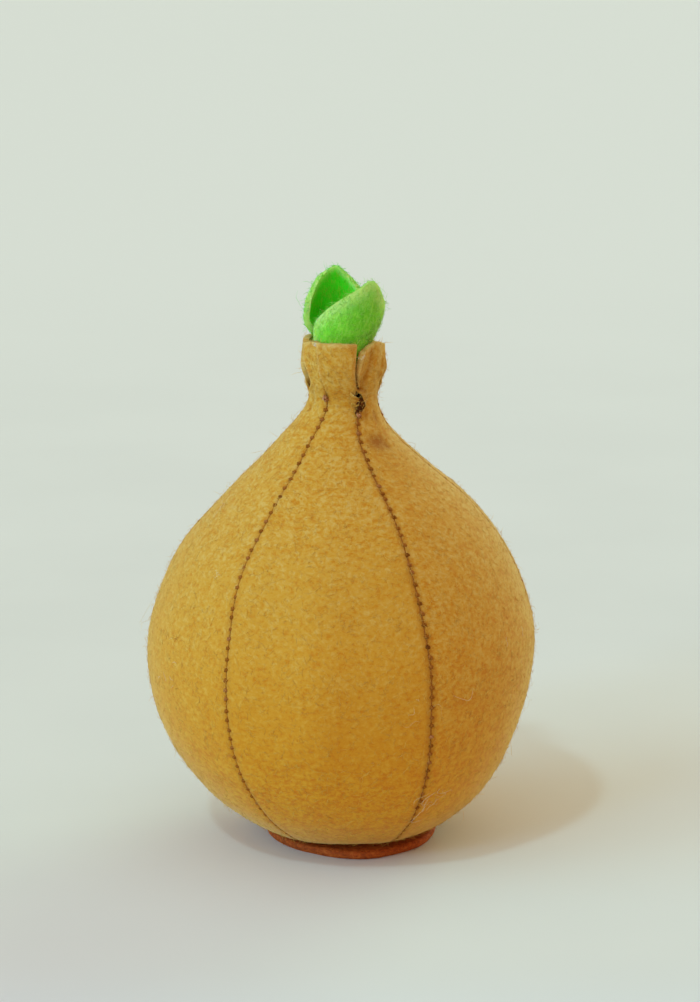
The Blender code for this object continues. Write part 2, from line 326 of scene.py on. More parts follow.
def seam_azimuth(number, height):
    """Azimuth in radians of a seam at a height; the seam after the sixth is the first again."""
    turns, index = divmod(number, len(SEAMS))
    return math.radians(smooth(SEAMS[index], height / MM) + 360.0 * turns)


def on_round(azimuth, radius, height):
    """A point of the leaning body."""
    return Vector((lean(height) + radius * math.sin(azimuth), -radius * math.cos(azimuth), height))


def ease(low, high, value):
    """0 below low, 1 above high, and a smooth step between."""
    t = min(max((value - low) / (high - low), 0.0), 1.0)
    return t * t * (3 - 2 * t)


def place_at(height):
    """The place in the outline at a height in metres."""
    low, high = 0.0, float(RIM)
    while high - low > 0.001:
        middle = (low + high) / 2
        low, high = (middle, high) if outline(middle)[1] < height else (low, middle)
    return low


def lumps(point, size, seed=0.0):
    """Smooth noise from -1 to 1 whose lumps are about as wide as the size given."""
    return noise.noise(point / size + Vector((seed, 2.7 * seed, -1.3 * seed)))


# Scene helpers


def link(name, data):
    """A new object of the mesh, curve, light or camera given."""
    holder = bpy.data.objects.new(name, data)
    bpy.context.scene.collection.objects.link(holder)
    return holder


def add_mesh(name, bm):
    mesh = bpy.data.meshes.new(name)
    bm.to_mesh(mesh)
    bm.free()
    return mesh


def add_piece(name, mesh, material, slot, *nodes):
    """Links a piece of the onion, which stays where its mesh is and stands for the nodes named."""
    piece = link(name, mesh)
    mesh.materials.clear()
    mesh.materials.append(material)
    mesh.shade_smooth()
    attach(piece, "root")
    if nodes:
        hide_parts(*nodes)
    return piece


def thicken(piece, thickness, offset, rounding):
    """Gives an open sheet its felt thickness, with its cut edges a little rounded."""
    wall = piece.modifiers.new("Felt", "SOLIDIFY")
    wall.thickness = thickness
    wall.offset = offset
    wall.use_even_offset = False
    wall.use_rim = True
    edge = piece.modifiers.new("Cut edge", "BEVEL")
    edge.width = rounding
    edge.segments = 2
    edge.limit_method = "ANGLE"
    edge.angle_limit = math.radians(55)


def finished_mesh(piece):
    """The piece's mesh with its modifiers, as a new mesh."""
    graph = bpy.context.evaluated_depsgraph_get()
    return bpy.data.meshes.new_from_object(piece.evaluated_get(graph))


def repeated(template, count):
    """A mesh of many copies of a small one, one after another and all in the same place."""
    holder = link("copies", template)
    array = holder.modifiers.new("Copies", "ARRAY")
    array.count = count
    array.use_relative_offset = False
    mesh = finished_mesh(holder)
    bpy.data.objects.remove(holder)
    return mesh


def set_coordinates(mesh, coordinates):
    mesh.vertices.foreach_set("co", np.ascontiguousarray(coordinates, np.float32).ravel())
    mesh.update()


def set_attribute(mesh, name, values):
    attribute = mesh.attributes.new(name, "FLOAT", "POINT")
    attribute.data.foreach_set("value", np.ascontiguousarray(values, np.float32).ravel())


def spindle(rings, sides):
    """A closed strand of unit length along Z and unit radius, pointed at both ends."""
    bm = bmesh.new()
    bmesh.ops.create_cone(bm, cap_ends=True, segments=sides, radius1=1.0, radius2=1.0, depth=1.0)
    caps = [face for face in bm.faces if abs(face.normal.z) > 0.5]
    bmesh.ops.poke(bm, faces=caps)
    bmesh.ops.translate(bm, verts=bm.verts, vec=(0.0, 0.0, 0.5))
    inset = 1.0 / (rings + 1)
    for vert in bm.verts:
        if vert.co.xy.length > 0.5:
            vert.co.z = inset if vert.co.z < 0.5 else 1.0 - inset
    for cut in range(1, rings - 1):
        bmesh.ops.bisect_plane(
            bm,
            geom=bm.verts[:] + bm.edges[:] + bm.faces[:],
            plane_co=(0.0, 0.0, inset * (cut + 1)),
            plane_no=(0.0, 0.0, 1.0),
        )
    bmesh.ops.triangulate(bm, faces=bm.faces)
    return add_mesh("strand", bm)


def revolved(section, steps):
    """A closed body turned round the Z axis from half a section of radii and heights."""
    bm = bmesh.new()
    rows = len(section) - 1
    bmesh.ops.create_grid(bm, x_segments=steps, y_segments=rows, size=1.0)
    for vert in bm.verts:
        radius, height = section[round((vert.co.y + 1) / 2 * rows)]
        angle = math.pi * (vert.co.x + 1)
        vert.co = (radius * math.cos(angle), radius * math.sin(angle), height)
    bmesh.ops.remove_doubles(bm, verts=bm.verts, dist=0.01 * MM)
    bmesh.ops.recalc_face_normals(bm, faces=bm.faces)
    bm.normal_update()
    return bm


# Loose wool

# The share of the fibres that stand off the felt, how steeply these and the others leave it, how much
# their lengths and thicknesses vary, and their lift and curls as shares of a length
STANDING_SHARE = 0.22
STANDING_TILT, LYING_TILT = 0.4, 0.06
LENGTH_SPREAD = 0.45
THICKNESSES = (0.7, 1.3)
FIBRE_LIFT = (0.025, 0.03)
FIBRE_CURLS = (0.16, 0.09)
FIBRE_SINK = 0.55  # share of their thickness that the fibres lie down in the felt
FIBRE_RINGS, FIBRE_SIDES = 2, 3
STRAND_END = 0.35  # how thick a strand still is at its ends


def read_all(items, field, kind=np.float32):
    """A field of three numbers of many vertices or triangles, as rows of an array."""
    values = np.empty(len(items) * 3, kind)
    items.foreach_get(field, values)
    return values.reshape(-1, 3)


def strands(rings, sides, rng, roots, ways, normals, lengths, lifts, curls, radii):
    """Curved strands, each with its own Tone, that leave their roots, lift off the surface and curl."""
    template = spindle(rings, sides)
    mesh = repeated(template, len(roots))
    shape = read_all(template.vertices, "co")
    t = shape[None, :, 2]
    sideways = np.cross(normals, ways)
    arc = 4 * t * (1 - t)
    wave = np.sin(2 * math.pi * t)
    taper = STRAND_END + (1 - STRAND_END) * np.minimum(1.0, arc * 1.5)
    centre = (
        roots[:, None, :]
        + ways[:, None, :] * (lengths[:, None] * t)[:, :, None]
        + sideways[:, None, :] * (curls[:, 0, None] * arc + curls[:, 1, None] * wave)[:, :, None]
        + normals[:, None, :] * (lifts[:, 0, None] * t + lifts[:, 1, None] * arc)[:, :, None]
    )
    centre[:, :, 2] = np.maximum(centre[:, :, 2], FLOOR_CLEARANCE)
    round_part = (
        sideways[:, None, :] * shape[None, :, 0, None] + normals[:, None, :] * shape[None, :, 1, None]
    )
    set_coordinates(mesh, centre + round_part * (radii[:, None] * taper)[:, :, None])
    set_attribute(mesh, "Tone", np.repeat(rng.random(len(roots)), len(template.vertices)))
    bpy.data.meshes.remove(template)
    return mesh


def unit(vectors):
    return vectors / np.maximum(np.linalg.norm(vectors, axis=1, keepdims=True), 1e-12)


def surface_samples(mesh, count, rng, wanted):
    """Random points of a mesh as densely as wanted at each face, with the normal at each."""
    mesh.calc_loop_triangles()
    points = read_all(mesh.vertices, "co").astype(float)
    corners = read_all(mesh.loop_triangles, "vertices", np.int32)
    a, b, c = (points[corners[:, k]] for k in range(3))
    crossed = np.cross(b - a, c - a)
    areas = np.linalg.norm(crossed, axis=1) / 2
    normals = unit(crossed)
    areas = areas * wanted((a + b + c) / 3, normals)
    picked = rng.choice(len(areas), count, p=areas / areas.sum())
    u, v = rng.random((2, count, 1))
    over = (u + v) > 1
    u, v = np.where(over, 1 - u, u), np.where(over, 1 - v, v)
    spots = a[picked] + u * (b - a)[picked] + v * (c - a)[picked]
    return spots, normals[picked]


def add_fuzz(name, source, rng, settings, material, slot, wanted, length_share=1.0):
    """Wool fibres that stand and lie loose on a felt piece, as closed strands."""
    count, thickness = settings.fibre_count, settings.fibre_thickness
    mesh = finished_mesh(source)
    roots, normals = surface_samples(mesh, count, rng, wanted)
    bpy.data.meshes.remove(mesh)
    aside = unit(np.cross(normals, unit(rng.normal(size=(count, 3)))))
    standing = rng.random((count, 1)) < STANDING_SHARE
    tilt = np.abs(rng.normal(0.0, np.where(standing, STANDING_TILT, LYING_TILT)))
    ways = unit(aside + normals * tilt)
    lengths = settings.fibre_length * length_share * rng.lognormal(0.0, LENGTH_SPREAD, count)
    lifts = np.stack([np.zeros(count), lengths * rng.normal(*FIBRE_LIFT, count)], axis=1)
    curls = lengths[:, None] * rng.normal(0.0, FIBRE_CURLS, (count, 2))
    radii = thickness / 2 * rng.uniform(*THICKNESSES, count)
    sunk = roots - normals * thickness * FIBRE_SINK
    fuzz = strands(FIBRE_RINGS, FIBRE_SIDES, rng, sunk, ways, normals, lengths, lifts, curls, radii)
    return add_piece(name, fuzz, material, slot)


# Settings


def colour_property(name, description, default):
    return FloatVectorProperty(name=name, description=description, size=3, default=default, subtype="COLOR")


def length_property(name, description, default, **limits):
    settings = {"name": name, "description": description, "default": default, **limits}
    return FloatProperty(precision=6, subtype="DISTANCE", unit="LENGTH", **settings)


def count_property(description, default):
    return IntProperty(name="Fibres", description=description, default=default, min=100, max=15000)


# Materials

# Painted light by height: the felt is warmer and darker near the base and paler near the neck
PAINTED_LIGHT_HEIGHTS = (8 * MM, 72 * MM)  # the felt's tint changes between these heights
# Grain of the felt: the scale, detail and roughness of each layer, and the first three's share of the tone
FLECKS = (980.0, 3.0, 0.62)
FINE_GRAIN = (3100.0, 1.0, 0.55)
BLOTCHES = (300.0, 1.0, 0.55)
PITS = (1500.0, 1.0, 0.55)
TONE_SHARES = (0.62, 0.18, 0.2)
DEEP_TONE, BASE_TONE, PALE_TONE = 0.41, 0.50, 0.59
PIT_RANGE = (0.63, 0.76)
FIBRE_SHOW, PIT_SHOW = 0.3, 0.6  # how clearly the curly fibres and the pits show in the colour
FELT_RELIEF = (0.8, 0.25)  # shares of the tone and of the curly fibres in the bumps
FELT_BUMPS = (0.13, 0.00016)  # their strength, and their height in metres
# Tones of the grain between which painted shade and cut edges show, and how strongly the painted shade
# shows at each
PAINTED_SHADE_TONES = (0.35, 0.65, 1.2, 0.75)
RIM_TONES = (0.4, 0.6)
BRUSHED_CONTRAST = 0.6
MATTING = 0.0014  # how far the grain is bent aside, in metres
# Curly fibres in the cloth: direction in degrees, length and width in metres, and how thin the lines are
WOOL_LINES = (
    (8.0, 0.0034, 0.00075, 0.05),
    (-38.0, 0.0028, 0.0007, 0.045),
    (72.0, 0.0030, 0.0009, 0.04),
)


def fill(tree, socket, value):
    """Links a socket, or sets it to a constant; a colour gets its alpha."""
    if isinstance(value, bpy.types.NodeSocket):
        tree.links.new(value, socket)
    else:
        socket.default_value = (*value[:3], 1.0) if socket.type == "RGBA" else value


def add_node(tree, kind, inputs=None, **settings):
    """Adds a node; an input is given a socket to link, or a constant."""
    node = tree.nodes.new(kind)
    for key, value in settings.items():
        setattr(node, key, value)
    for key, value in (inputs or {}).items():
        fill(tree, node.inputs[key], value)
    return node


class Shading:
    """The nodes of one material, with a short call for each kind that the pieces need."""

    def __init__(self, name, roughness, gloss=0.5):
        self.material = bpy.data.materials.new(name)
        self.material.use_nodes = True
        self.tree = self.material.node_tree
        self.shader = self.tree.nodes["Principled BSDF"]
        self.set("Roughness", roughness)
        self.set("Specular IOR Level", gloss)

    def set(self, name, value):
        fill(self.tree, self.shader.inputs[name], value)

    def add(self, kind, inputs=None, **settings):
        return add_node(self.tree, kind, inputs, **settings)

    def space(self):
        return self.add("ShaderNodeTexCoord").outputs["Object"]

    def mark(self, name):
        """A number kept on the piece's own vertices."""
        return self.add("ShaderNodeAttribute", attribute_name=name).outputs["Fac"]

    def mix(self, factor, first, second, blend="MIX"):
        inputs = {0: factor, 6: first, 7: second}
        return self.add("ShaderNodeMix", inputs, data_type="RGBA", blend_type=blend).outputs[2]

    def maths(self, operation, first, second=0.0, clamp=False):
        inputs = {0: first, 1: second}
        return self.add("ShaderNodeMath", inputs, operation=operation, use_clamp=clamp).outputs[0]

    def total(self, *parts):
        """The sum of sockets, each times its share."""
        products = [self.maths("MULTIPLY", socket, share) for socket, share in parts]
        result = products[0]
        for product in products[1:]:
            result = self.maths("ADD", result, product)
        return result

    def vectors(self, operation, first, second):
        """Vector maths on two vectors, or on a vector and the number that scales it."""
        inputs = {0: first, 3 if operation == "SCALE" else 1: second}
        return self.add("ShaderNodeVectorMath", inputs, operation=operation).outputs[0]

    def ranged(self, value, low, high, to_low=0.0, to_high=1.0):
        inputs = {0: value, 1: low, 2: high, 3: to_low, 4: to_high}
        return self.add("ShaderNodeMapRange", inputs, interpolation_type="SMOOTHSTEP").outputs[0]

    def grain(self, place, scale, detail, roughness=0.5, distortion=0.0):
        inputs = {"Vector": place, "Scale": scale, "Detail": detail, "Roughness": roughness}
        return self.add("ShaderNodeTexNoise", inputs | {"Distortion": distortion}).outputs[0]

    def bump(self, height, strength, distance):
        inputs = {"Height": height, "Strength": strength, "Distance": distance}
        self.set("Normal", self.add("ShaderNodeBump", inputs).outputs[0])


def wool_lines(shade, place, fleck, angle, length, width, thinness):
    """Curly light lines along one direction of the cloth: 1 on a fibre, 0 between."""
    turn, scale = (0.0, 0.0, math.radians(angle)), (1 / (length * fleck), 1 / (width * fleck), 1.0)
    turned = shade.add("ShaderNodeMapping", {"Vector": place, "Rotation": turn, "Scale": scale}).outputs[0]
    grain = shade.grain(turned, 1.0, 1.0, distortion=0.35)
    away = shade.maths("ABSOLUTE", shade.maths("SUBTRACT", grain, 0.5))
    return shade.ranged(away, 0.0, thinness, 1.0, 0.0)


def felt_material(
    name,
    base,
    deep,
    pale,
    fleck=1.0,
    streak=(0.95, 1.05),
    shade_colour=None,
    rim=None,
    rim_mix=(0.2, 0.5),
    sheen=None,
    glow=0.0,
    light_by_height=None,
):
    """Wool felt: soft flecks of three tones, pits and curly fibres in the cloth's plane, and a sheen."""
    shade = Shading(name, 0.8, 0.18)
    cloth = shade.add("ShaderNodeUVMap", uv_map="Cloth").outputs[0]
    space = shade.space()

    bends = shade.add("ShaderNodeTexNoise", {"Vector": cloth, "Scale": 520.0, "Detail": 2.0}).outputs[1]
    bends = shade.vectors("SUBTRACT", bends, (0.5, 0.5, 0.5))
    matted = shade.vectors("ADD", cloth, shade.vectors("SCALE", bends, MATTING * fleck))
    scale = (streak[0] / fleck, streak[1] / fleck, 1.0)
    wide = shade.add("ShaderNodeMapping", {"Vector": matted, "Scale": scale}).outputs[0]

    layers = (shade.grain(wide, *FLECKS), shade.grain(wide, *FINE_GRAIN), shade.grain(space, *BLOTCHES))
    tone = shade.total(*zip(layers, TONE_SHARES))
    calm = shade.ranged(shade.mark("Brushed"), 0.0, 1.0, 1.0, BRUSHED_CONTRAST)
    tone = shade.maths("ADD", shade.maths("MULTIPLY", shade.maths("SUBTRACT", tone, 0.5), calm), 0.5)
    first, second, third = (wool_lines(shade, matted, fleck, *line) for line in WOOL_LINES)
    strand = shade.maths("MAXIMUM", first, shade.maths("MAXIMUM", second, third))
    strand = shade.maths("MULTIPLY", strand, calm)
    pits = shade.maths("MULTIPLY", shade.ranged(shade.grain(wide, *PITS), *PIT_RANGE), calm)

    colour = shade.mix(shade.ranged(tone, DEEP_TONE, BASE_TONE), deep, base)
    colour = shade.mix(shade.ranged(tone, BASE_TONE, PALE_TONE), colour, pale)
    colour = shade.mix(shade.maths("MULTIPLY", strand, FIBRE_SHOW), colour, pale)
    colour = shade.mix(shade.maths("MULTIPLY", pits, PIT_SHOW), colour, deep)
    # Painted light by height: warmer shade near the base, paler light near the neck
    if light_by_height:
        height = shade.add("ShaderNodeSeparateXYZ", {0: space}).outputs[2]
        colour = shade.mix(1.0, colour, shade.mix(shade.ranged(height, *PAINTED_LIGHT_HEIGHTS), *light_by_height), "MULTIPLY")
    # Painted shade in the seams, folds, hollows and a leaf's foot; on cut edges, pale loose wool and a
    # painted highlight
    for mark, marked, tones in (("PaintedShade", shade_colour, PAINTED_SHADE_TONES), ("EdgeWoolAndHighlight", rim, (*RIM_TONES, *rim_mix))):
        if marked is not None:
            share = shade.maths("MULTIPLY", shade.mark(mark), shade.ranged(tone, *tones), clamp=True)
            colour = shade.mix(share, colour, marked)
    shade.set("Base Color", colour)
    strength, rise = FELT_BUMPS
    shade.bump(shade.total(*zip((tone, strand), FELT_RELIEF)), strength, rise * fleck)
    shade.set("Sheen Weight", 0.7)
    shade.set("Sheen Roughness", 0.4)
    shade.set("Sheen Tint", pale if sheen is None else sheen)
    if glow:
        shade.set("Subsurface Weight", glow)
        shade.set("Subsurface Radius", base)
        shade.set("Subsurface Scale", 2 * MM)
    return shade.material


def fibre_material(name, dark, light):
    """Loose fibres, each with its own tone between two colours."""
    shade = Shading(name, 0.85, 0.1)
    shade.set("Base Color", shade.mix(shade.mark("Tone"), dark, light))
    return shade.material


def thread_material(name, dark, colour, lit):
    """Spun sewing thread, whose Tone runs from its dark tangles through its colour to its pale ends."""
    shade = Shading(name, 0.9, 0.0)
    grain = shade.grain(shade.space(), 5200.0, 3.0, 0.6)
    spun = shade.maths("ADD", shade.mark("Tone"), shade.ranged(grain, 0.3, 0.7, -0.15, 0.15))
    # Painted shade of the tangles at low Tone, pale ends and painted highlights at high Tone
    dyed = shade.mix(shade.ranged(spun, 0.0, THREAD_TONE), dark, colour)
    shade.set("Base Color", shade.mix(shade.ranged(spun, THREAD_TONE, 1.0), dyed, lit))
    shade.bump(grain, 0.5, 0.00005)
    return shade.material


def filling_material(name, colour):
    """White fibre filling, with painted shade greying it between its wisps."""
    shade = Shading(name, 0.9)
    wisps = shade.grain(shade.space(), 900.0, 6.0, distortion=1.2)
    # Painted shade between the wisps
    between = [0.72 * part for part in colour]
    shade.set("Base Color", shade.mix(shade.ranged(wisps, 0.35, 0.65), between, colour))
    shade.bump(wisps, 0.8, 0.0005)
    return shade.material


def backdrop_material(name, colour):
    """Pale cloth with painted light: cooler just in front of the onion and lighter far behind."""
    shade = Shading(name, 0.95, 0.1)
    space = shade.space()
    darker = [0.96 * part for part in colour]
    tone = shade.mix(shade.ranged(shade.grain(space, 9.0, 3.0), 0.3, 0.7), darker, colour)
    depth = shade.add("ShaderNodeSeparateXYZ", {0: space}).outputs[1]
    reach = shade.add("ShaderNodeVectorMath", {0: space}, operation="LENGTH").outputs["Value"]
    # Painted cool light in front of the onion, and painted brighter light far behind
    front = shade.maths("MULTIPLY", shade.ranged(depth, *COOL_DEPTHS), shade.ranged(reach, *COOL_REACH))
    tone = shade.mix(front, tone, [part * gain for part, gain in zip(colour, PAINTED_COOL_LIGHT_GAINS)])
    tone = shade.mix(shade.ranged(depth, *FAR_DEPTHS), tone, [part * PAINTED_FAR_LIGHT_GAIN for part in colour])
    shade.set("Base Color", tone)
    return shade.material


# Body panels


def panel_places():
    """The places in the outline of a panel's rows, close together in the collar."""
    places = []
    for span in range(RIM):
        length = (Vector(outline(span + 1)) - Vector(outline(span))).length
        rows = max(2, round(length / (COLLAR_ROW if span >= NECK - 1 else BODY_ROW)))
        places += [span + row / rows for row in range(rows)]
    return places + [float(RIM)]


def edge_state(panel, side, place):
    """How one edge of a panel runs at a place: its turn in radians, its gap and the hollow beside it."""
    middle_turn, rim_turn, middle_gap, rim_gap, hollow = COLLAR_EDGES[panel][side]
    turns = ((OPENING_START, CLOSED_TURN), (OPENING_MIDDLE, middle_turn), (RIM, rim_turn))
    gaps = ((OPENING_START, CLOSED_GAP), (OPENING_MIDDLE, middle_gap), (RIM, rim_gap))
    share = ease(OPENING_START, OPENING_MIDDLE, place)
    return math.radians(smooth(turns, place)), smooth(gaps, place) * MM, hollow * share * MM


def border(along, turn):
    """A point of a border that bends by the turn given: its way towards the seam, and its rise."""
    bent = min(along, BEND_RADIUS * abs(turn))
    straight = along - bent
    angle = bent / BEND_RADIUS
    way = BEND_RADIUS * math.sin(angle) + straight * math.cos(angle)
    rise = BEND_RADIUS * (1 - math.cos(angle)) + straight * math.sin(angle)
    return way, math.copysign(rise, turn)


def panel_row(panel, place):
    """One row of a panel from left to right: its points, how far each is from the middle, its painted
    shade.
    """
    radius, height = outline(place)
    out_radius, out_height = outward(place)
    left, right = seam_azimuth(panel, height), seam_azimuth(panel + 1, height)
    middle, half = (left + right) / 2, (right - left) / 2
    closed = 1 - ease(OPENING_START, OPENING_MIDDLE, place)
    notch = 1 - NOTCH[2] * math.exp(-(((place - NOTCH[0]) / NOTCH[1]) ** 2))
    allowance = BORDER_WIDTH * (closed + COLLAR_BORDER * (1 - closed)) * notch
    rim_share = ease(NECK + 1, RIM, place) ** 2
    points, reaches, shades = [], [], []
    for column in range(COLUMNS + 1):
        side = int(2 * column > COLUMNS)
        from_edge = min(column, COLUMNS - column)
        turn, gap, hollow = edge_state(panel, side, place)
        bend_at = half * radius - gap - border(allowance, turn)[0]
        if from_edge < BORDER_COLUMNS:
            along = allowance * (1 - from_edge / BORDER_COLUMNS)
            way, rise = border(along, turn)
            distance, beside, reach = bend_at + way, 0.0, bend_at + along
        else:
            distance = bend_at * abs(column - COLUMNS / 2) / (COLUMNS / 2 - BORDER_COLUMNS)
            rise, beside, reach = 0.0, bend_at - distance, distance
        sign = 1 if side else -1
        turned = min(max(distance / radius / half, 0.0), 1.0)
        rise -= GORE_FLATNESS * radius * (1 - turned**2)
        rise -= SEAM_DIP * closed * math.exp(-beside / SEAM_DIP_WIDTH)
        rise -= hollow * math.exp(-((beside / HOLLOW_WIDTH) ** 2))
        azimuth = middle + sign * distance / radius
        flat_drop, corner_drop = DROOPS[panel][1], DROOPS[panel][2 * side]
        drop = (flat_drop + (corner_drop - flat_drop) * turned**DROOP_POWER) * rim_share * MM
        points.append(on_round(azimuth, radius + rise * out_radius, height + rise * out_height - drop))
        reaches.append(sign * reach)
        seam_shade = SEAM_SHADES[(panel + side) % len(SEAMS)]
        shades.append(seam_shade * closed * math.exp(-((beside / SEAM_SHADE_WIDTH) ** 2)))
    return points, reaches, shades


def crease_distance(azimuth, height, radius, line):
    """Distance in millimetres over the felt from a point to a line of azimuths and heights."""
    here = Vector((azimuth * radius, height))
    places = [Vector((math.radians(degrees) * radius, level)) for degrees, level in line]
    nearest = math.inf
    for start, end in zip(places, places[1:]):
        run = end - start
        share = min(max((here - start).dot(run) / run.length_squared, 0.0), 1.0)
        nearest = min(nearest, (here - start - run * share).length)
    return nearest


def dip_and_shade_at(point):
    """How deep the felt dips at a point, and how dark its painted shade is there."""
    height = point.z / MM
    azimuth = math.atan2(point.x - lean(point.z), -point.y)
    radius = math.hypot(point.x - lean(point.z), point.y) / MM
    depth, dark = 0.0, 0.0
    for line, half_width, dip, shade in CREASES if height > CREASES_FROM else ():
        share = math.exp(-((crease_distance(azimuth, height, radius, line) / half_width) ** 2))
        depth += dip * share * MM
        dark = max(dark, shade * share)
    for centre, level, half_width, half_height, dip, shade in MARKS:
        aside = (azimuth - math.radians(centre)) * radius / half_width
        above = (height - level) / half_height
        share = math.exp(-(aside**2) - above**2)
        depth += dip * share * MM
        dark = max(dark, shade * share)
    return depth, dark


def panel_mesh(panel, lump_height):
    """A panel's outer face as one sheet, with its cloth map in metres along and across the gore."""
    places = panel_places()
    rows, reach_rows, shade_rows, lengths = [], [], [], [0.0]
    for place in places:
        points, reaches, shades = panel_row(panel, place)
        rows.append(points)
        reach_rows.append(reaches)
        shade_rows.append(shades)
        if len(rows) > 1:
            middle = COLUMNS // 2
            lengths.append(lengths[-1] + (rows[-1][middle] - rows[-2][middle]).length)
    bm = bmesh.new()
    bmesh.ops.create_grid(bm, x_segments=COLUMNS, y_segments=len(places) - 1, size=1.0)
    cloth = bm.loops.layers.uv.new("Cloth")
    spots, shades, rims = {}, [], []
    for vert in bm.verts:
        column = round((vert.co.x + 1) / 2 * COLUMNS)
        row = round((vert.co.y + 1) / 2 * (len(places) - 1))
        vert.co = rows[row][column]
        edge = min(column, COLUMNS - column) / BORDER_COLUMNS * BORDER_WIDTH
        in_collar = ease(OPENING_START, OPENING_MIDDLE, places[row])
        from_edge = min(lengths[-1] - lengths[row], edge + (1 - in_collar) * BORDER_WIDTH)
        spots[vert] = (reach_rows[row][column], lengths[row] + CLOTH_STEP * panel)
        shades.append(shade_rows[row][column])
        rims.append(math.exp(-((from_edge / RIM_WIDTH) ** 2)))
    bm.normal_update()
    for number, vert in enumerate(bm.verts):
        point = vert.co.copy()
        depth, dark = dip_and_shade_at(point)
        relief = sum(share * lumps(point, size, panel) for share, size in LUMPS)
        vert.co += vert.normal * (relief * lump_height - depth)
        shades[number] = max(shades[number], dark)
        for loop in vert.link_loops:
            loop[cloth].uv = spots[vert]
    heights = [vert.co.z for vert in bm.verts]
    brushed = [BRUSHED[panel] * ease(*BRUSHED_FROM, z) * ease(*BRUSHED_TO, z) for z in heights]
    mesh = add_mesh(f"panel_{panel + 1}", bm)
    set_attribute(mesh, "Brushed", brushed)
    # Painted shade of the seams, folds and hollows, kept on the vertices
    set_attribute(mesh, "PaintedShade", shades)
    set_attribute(mesh, "EdgeWoolAndHighlight", rims)
    widths = [reaches[-1] - reaches[0] for reaches in reach_rows]
    steps = np.diff(lengths)
    area = float(sum((a + b) / 2 * step for a, b, step in zip(widths, widths[1:], steps)))
    return mesh, (max(widths), lengths[-1], area)


def shows(centres, normals):
    """1 for the faces of the body felt that can be seen, more in the collar, 0 for those inside."""
    across = centres[:, :2] * normals[:, :2]
    outside = across.sum(axis=1) > INWARD_LIMIT * np.linalg.norm(centres[:, :2], axis=1)
    height = centres[:, 2]
    density = 1.0 + COLLAR_FIBRES[1] * (height > COLLAR_FIBRES[0])
    return np.where(outside | (height > SHOWN_IN_COLLAR), density, 0.0)


class FELT_ONION_PG_body(bpy.types.PropertyGroup):
    """Felt of the body"""

    thickness: length_property(
        "Felt thickness", "Thickness of the body's felt", FELT_THICKNESS, min=0.5 * MM, max=3 * MM
    )
    lump_height: length_property(
        "Lump height", "How far the stuffing pushes the felt in and out", 0.12 * MM, min=0.0, max=1 * MM
    )
    base: colour_property("Felt colour", "Main colour of the wool", (0.605, 0.282, 0.021))
    deep: colour_property("Deep colour", "Wool in the hollows", (0.553, 0.20, 0.005))
    pale: colour_property("Pale colour", "Loose pale wool", (0.645, 0.365, 0.074))
    rim: colour_property("Cut edge colour", "Loose wool of cut edges", (0.80, 0.60, 0.22))
    loose: colour_property("Fibre colour", "The palest loose fibres", (0.82, 0.54, 0.12))
    # Painted light by height: warmer shade near the base, paler light near the neck
    low_painted_shade: colour_property("Low tint", "Tint of the felt near the base", (1.1, 0.91, 0.1))
    high_painted_light: colour_property("High tint", "Tint of the felt near the neck", (1.0, 1.07, 1.08))
    sheen: colour_property("Sheen", "Sheen of the fine wool", (0.62, 0.64, 0.32))
    # Colour of the painted shade in the seams, folds and hollows
    shade_colour: colour_property("Mark colour", "Where the felt is marked", (0.37, 0.125, 0.006))
    fibre_count: count_property("Loose fibres on each panel", 6500)
    fibre_length: length_property("Fibre length", "Usual length of a loose fibre", 1.15 * MM)
    fibre_thickness: length_property("Fibre thickness", "Thickness of a loose fibre", 0.055 * MM)


class FELT_ONION_OT_body(bpy.types.Operator):
    """Adds the six sewn felt panels of the body and their loose fibres"""

    bl_idname = "felt_onion.add_body"
    bl_label = "Add body panels"

    def execute(self, context):
        settings = context.scene.felt_onion_body
        felt = felt_material(
            "Mustard felt",
            settings.base,
            settings.deep,
            settings.pale,
            shade_colour=settings.shade_colour,
            rim=settings.rim,
            sheen=settings.sheen,
            light_by_height=(settings.low_painted_shade, settings.high_painted_light),
        )
        wool = fibre_material("Mustard wool", settings.pale, settings.loose)
        for panel in range(len(SEAMS)):
            rng = np.random.default_rng(100 + panel)
            mesh, (width, length, area) = panel_mesh(panel, settings.lump_height)
            piece = add_piece(f"felt_panel_{panel + 1}", mesh, felt, "body_felt", f"panel_{panel + 1}")
            thicken(piece, settings.thickness, -1.0, CUT_ROUNDING)
            fuzz = add_fuzz(f"panel_fuzz_{panel + 1}", piece, rng, settings, wool, "body_felt", shows)
        return {"FINISHED"}


# Seams


def seam_point(seam, place, height_off):
    """A point on a seam's line, that far off the outline."""
    radius, height = outline(place)
    out_radius, out_height = outward(place)
    return on_round(
        seam_azimuth(seam, height), radius + height_off * out_radius, height + height_off * out_height
    )


def seam_frame(seam, place):
    """On a seam's line at a place: the point of the outline, the ways along, across and outward."""
    point = seam_point(seam, place, 0.0)
    ahead, behind = (seam_point(seam, place + step, 0.0) for step in (SEAM_STEP, -SEAM_STEP))
    along = (ahead - behind).normalized()
    outwards = (seam_point(seam, place, MM) - point).normalized()
    across = along.cross(outwards).normalized()
    return point, along, across, outwards


def even_places(seam, start, end, spacing):
    """Places along a seam that stand a fixed length apart."""
    places, travelled, target, place = [], 0.0, 0.0, start
    before = seam_point(seam, place, 0.0)
    while place < end:
        if travelled >= target:
            places.append(place)
            target += spacing
        place += WALK_STEP
        here = seam_point(seam, place, 0.0)
        travelled += (here - before).length
        before = here
    return places


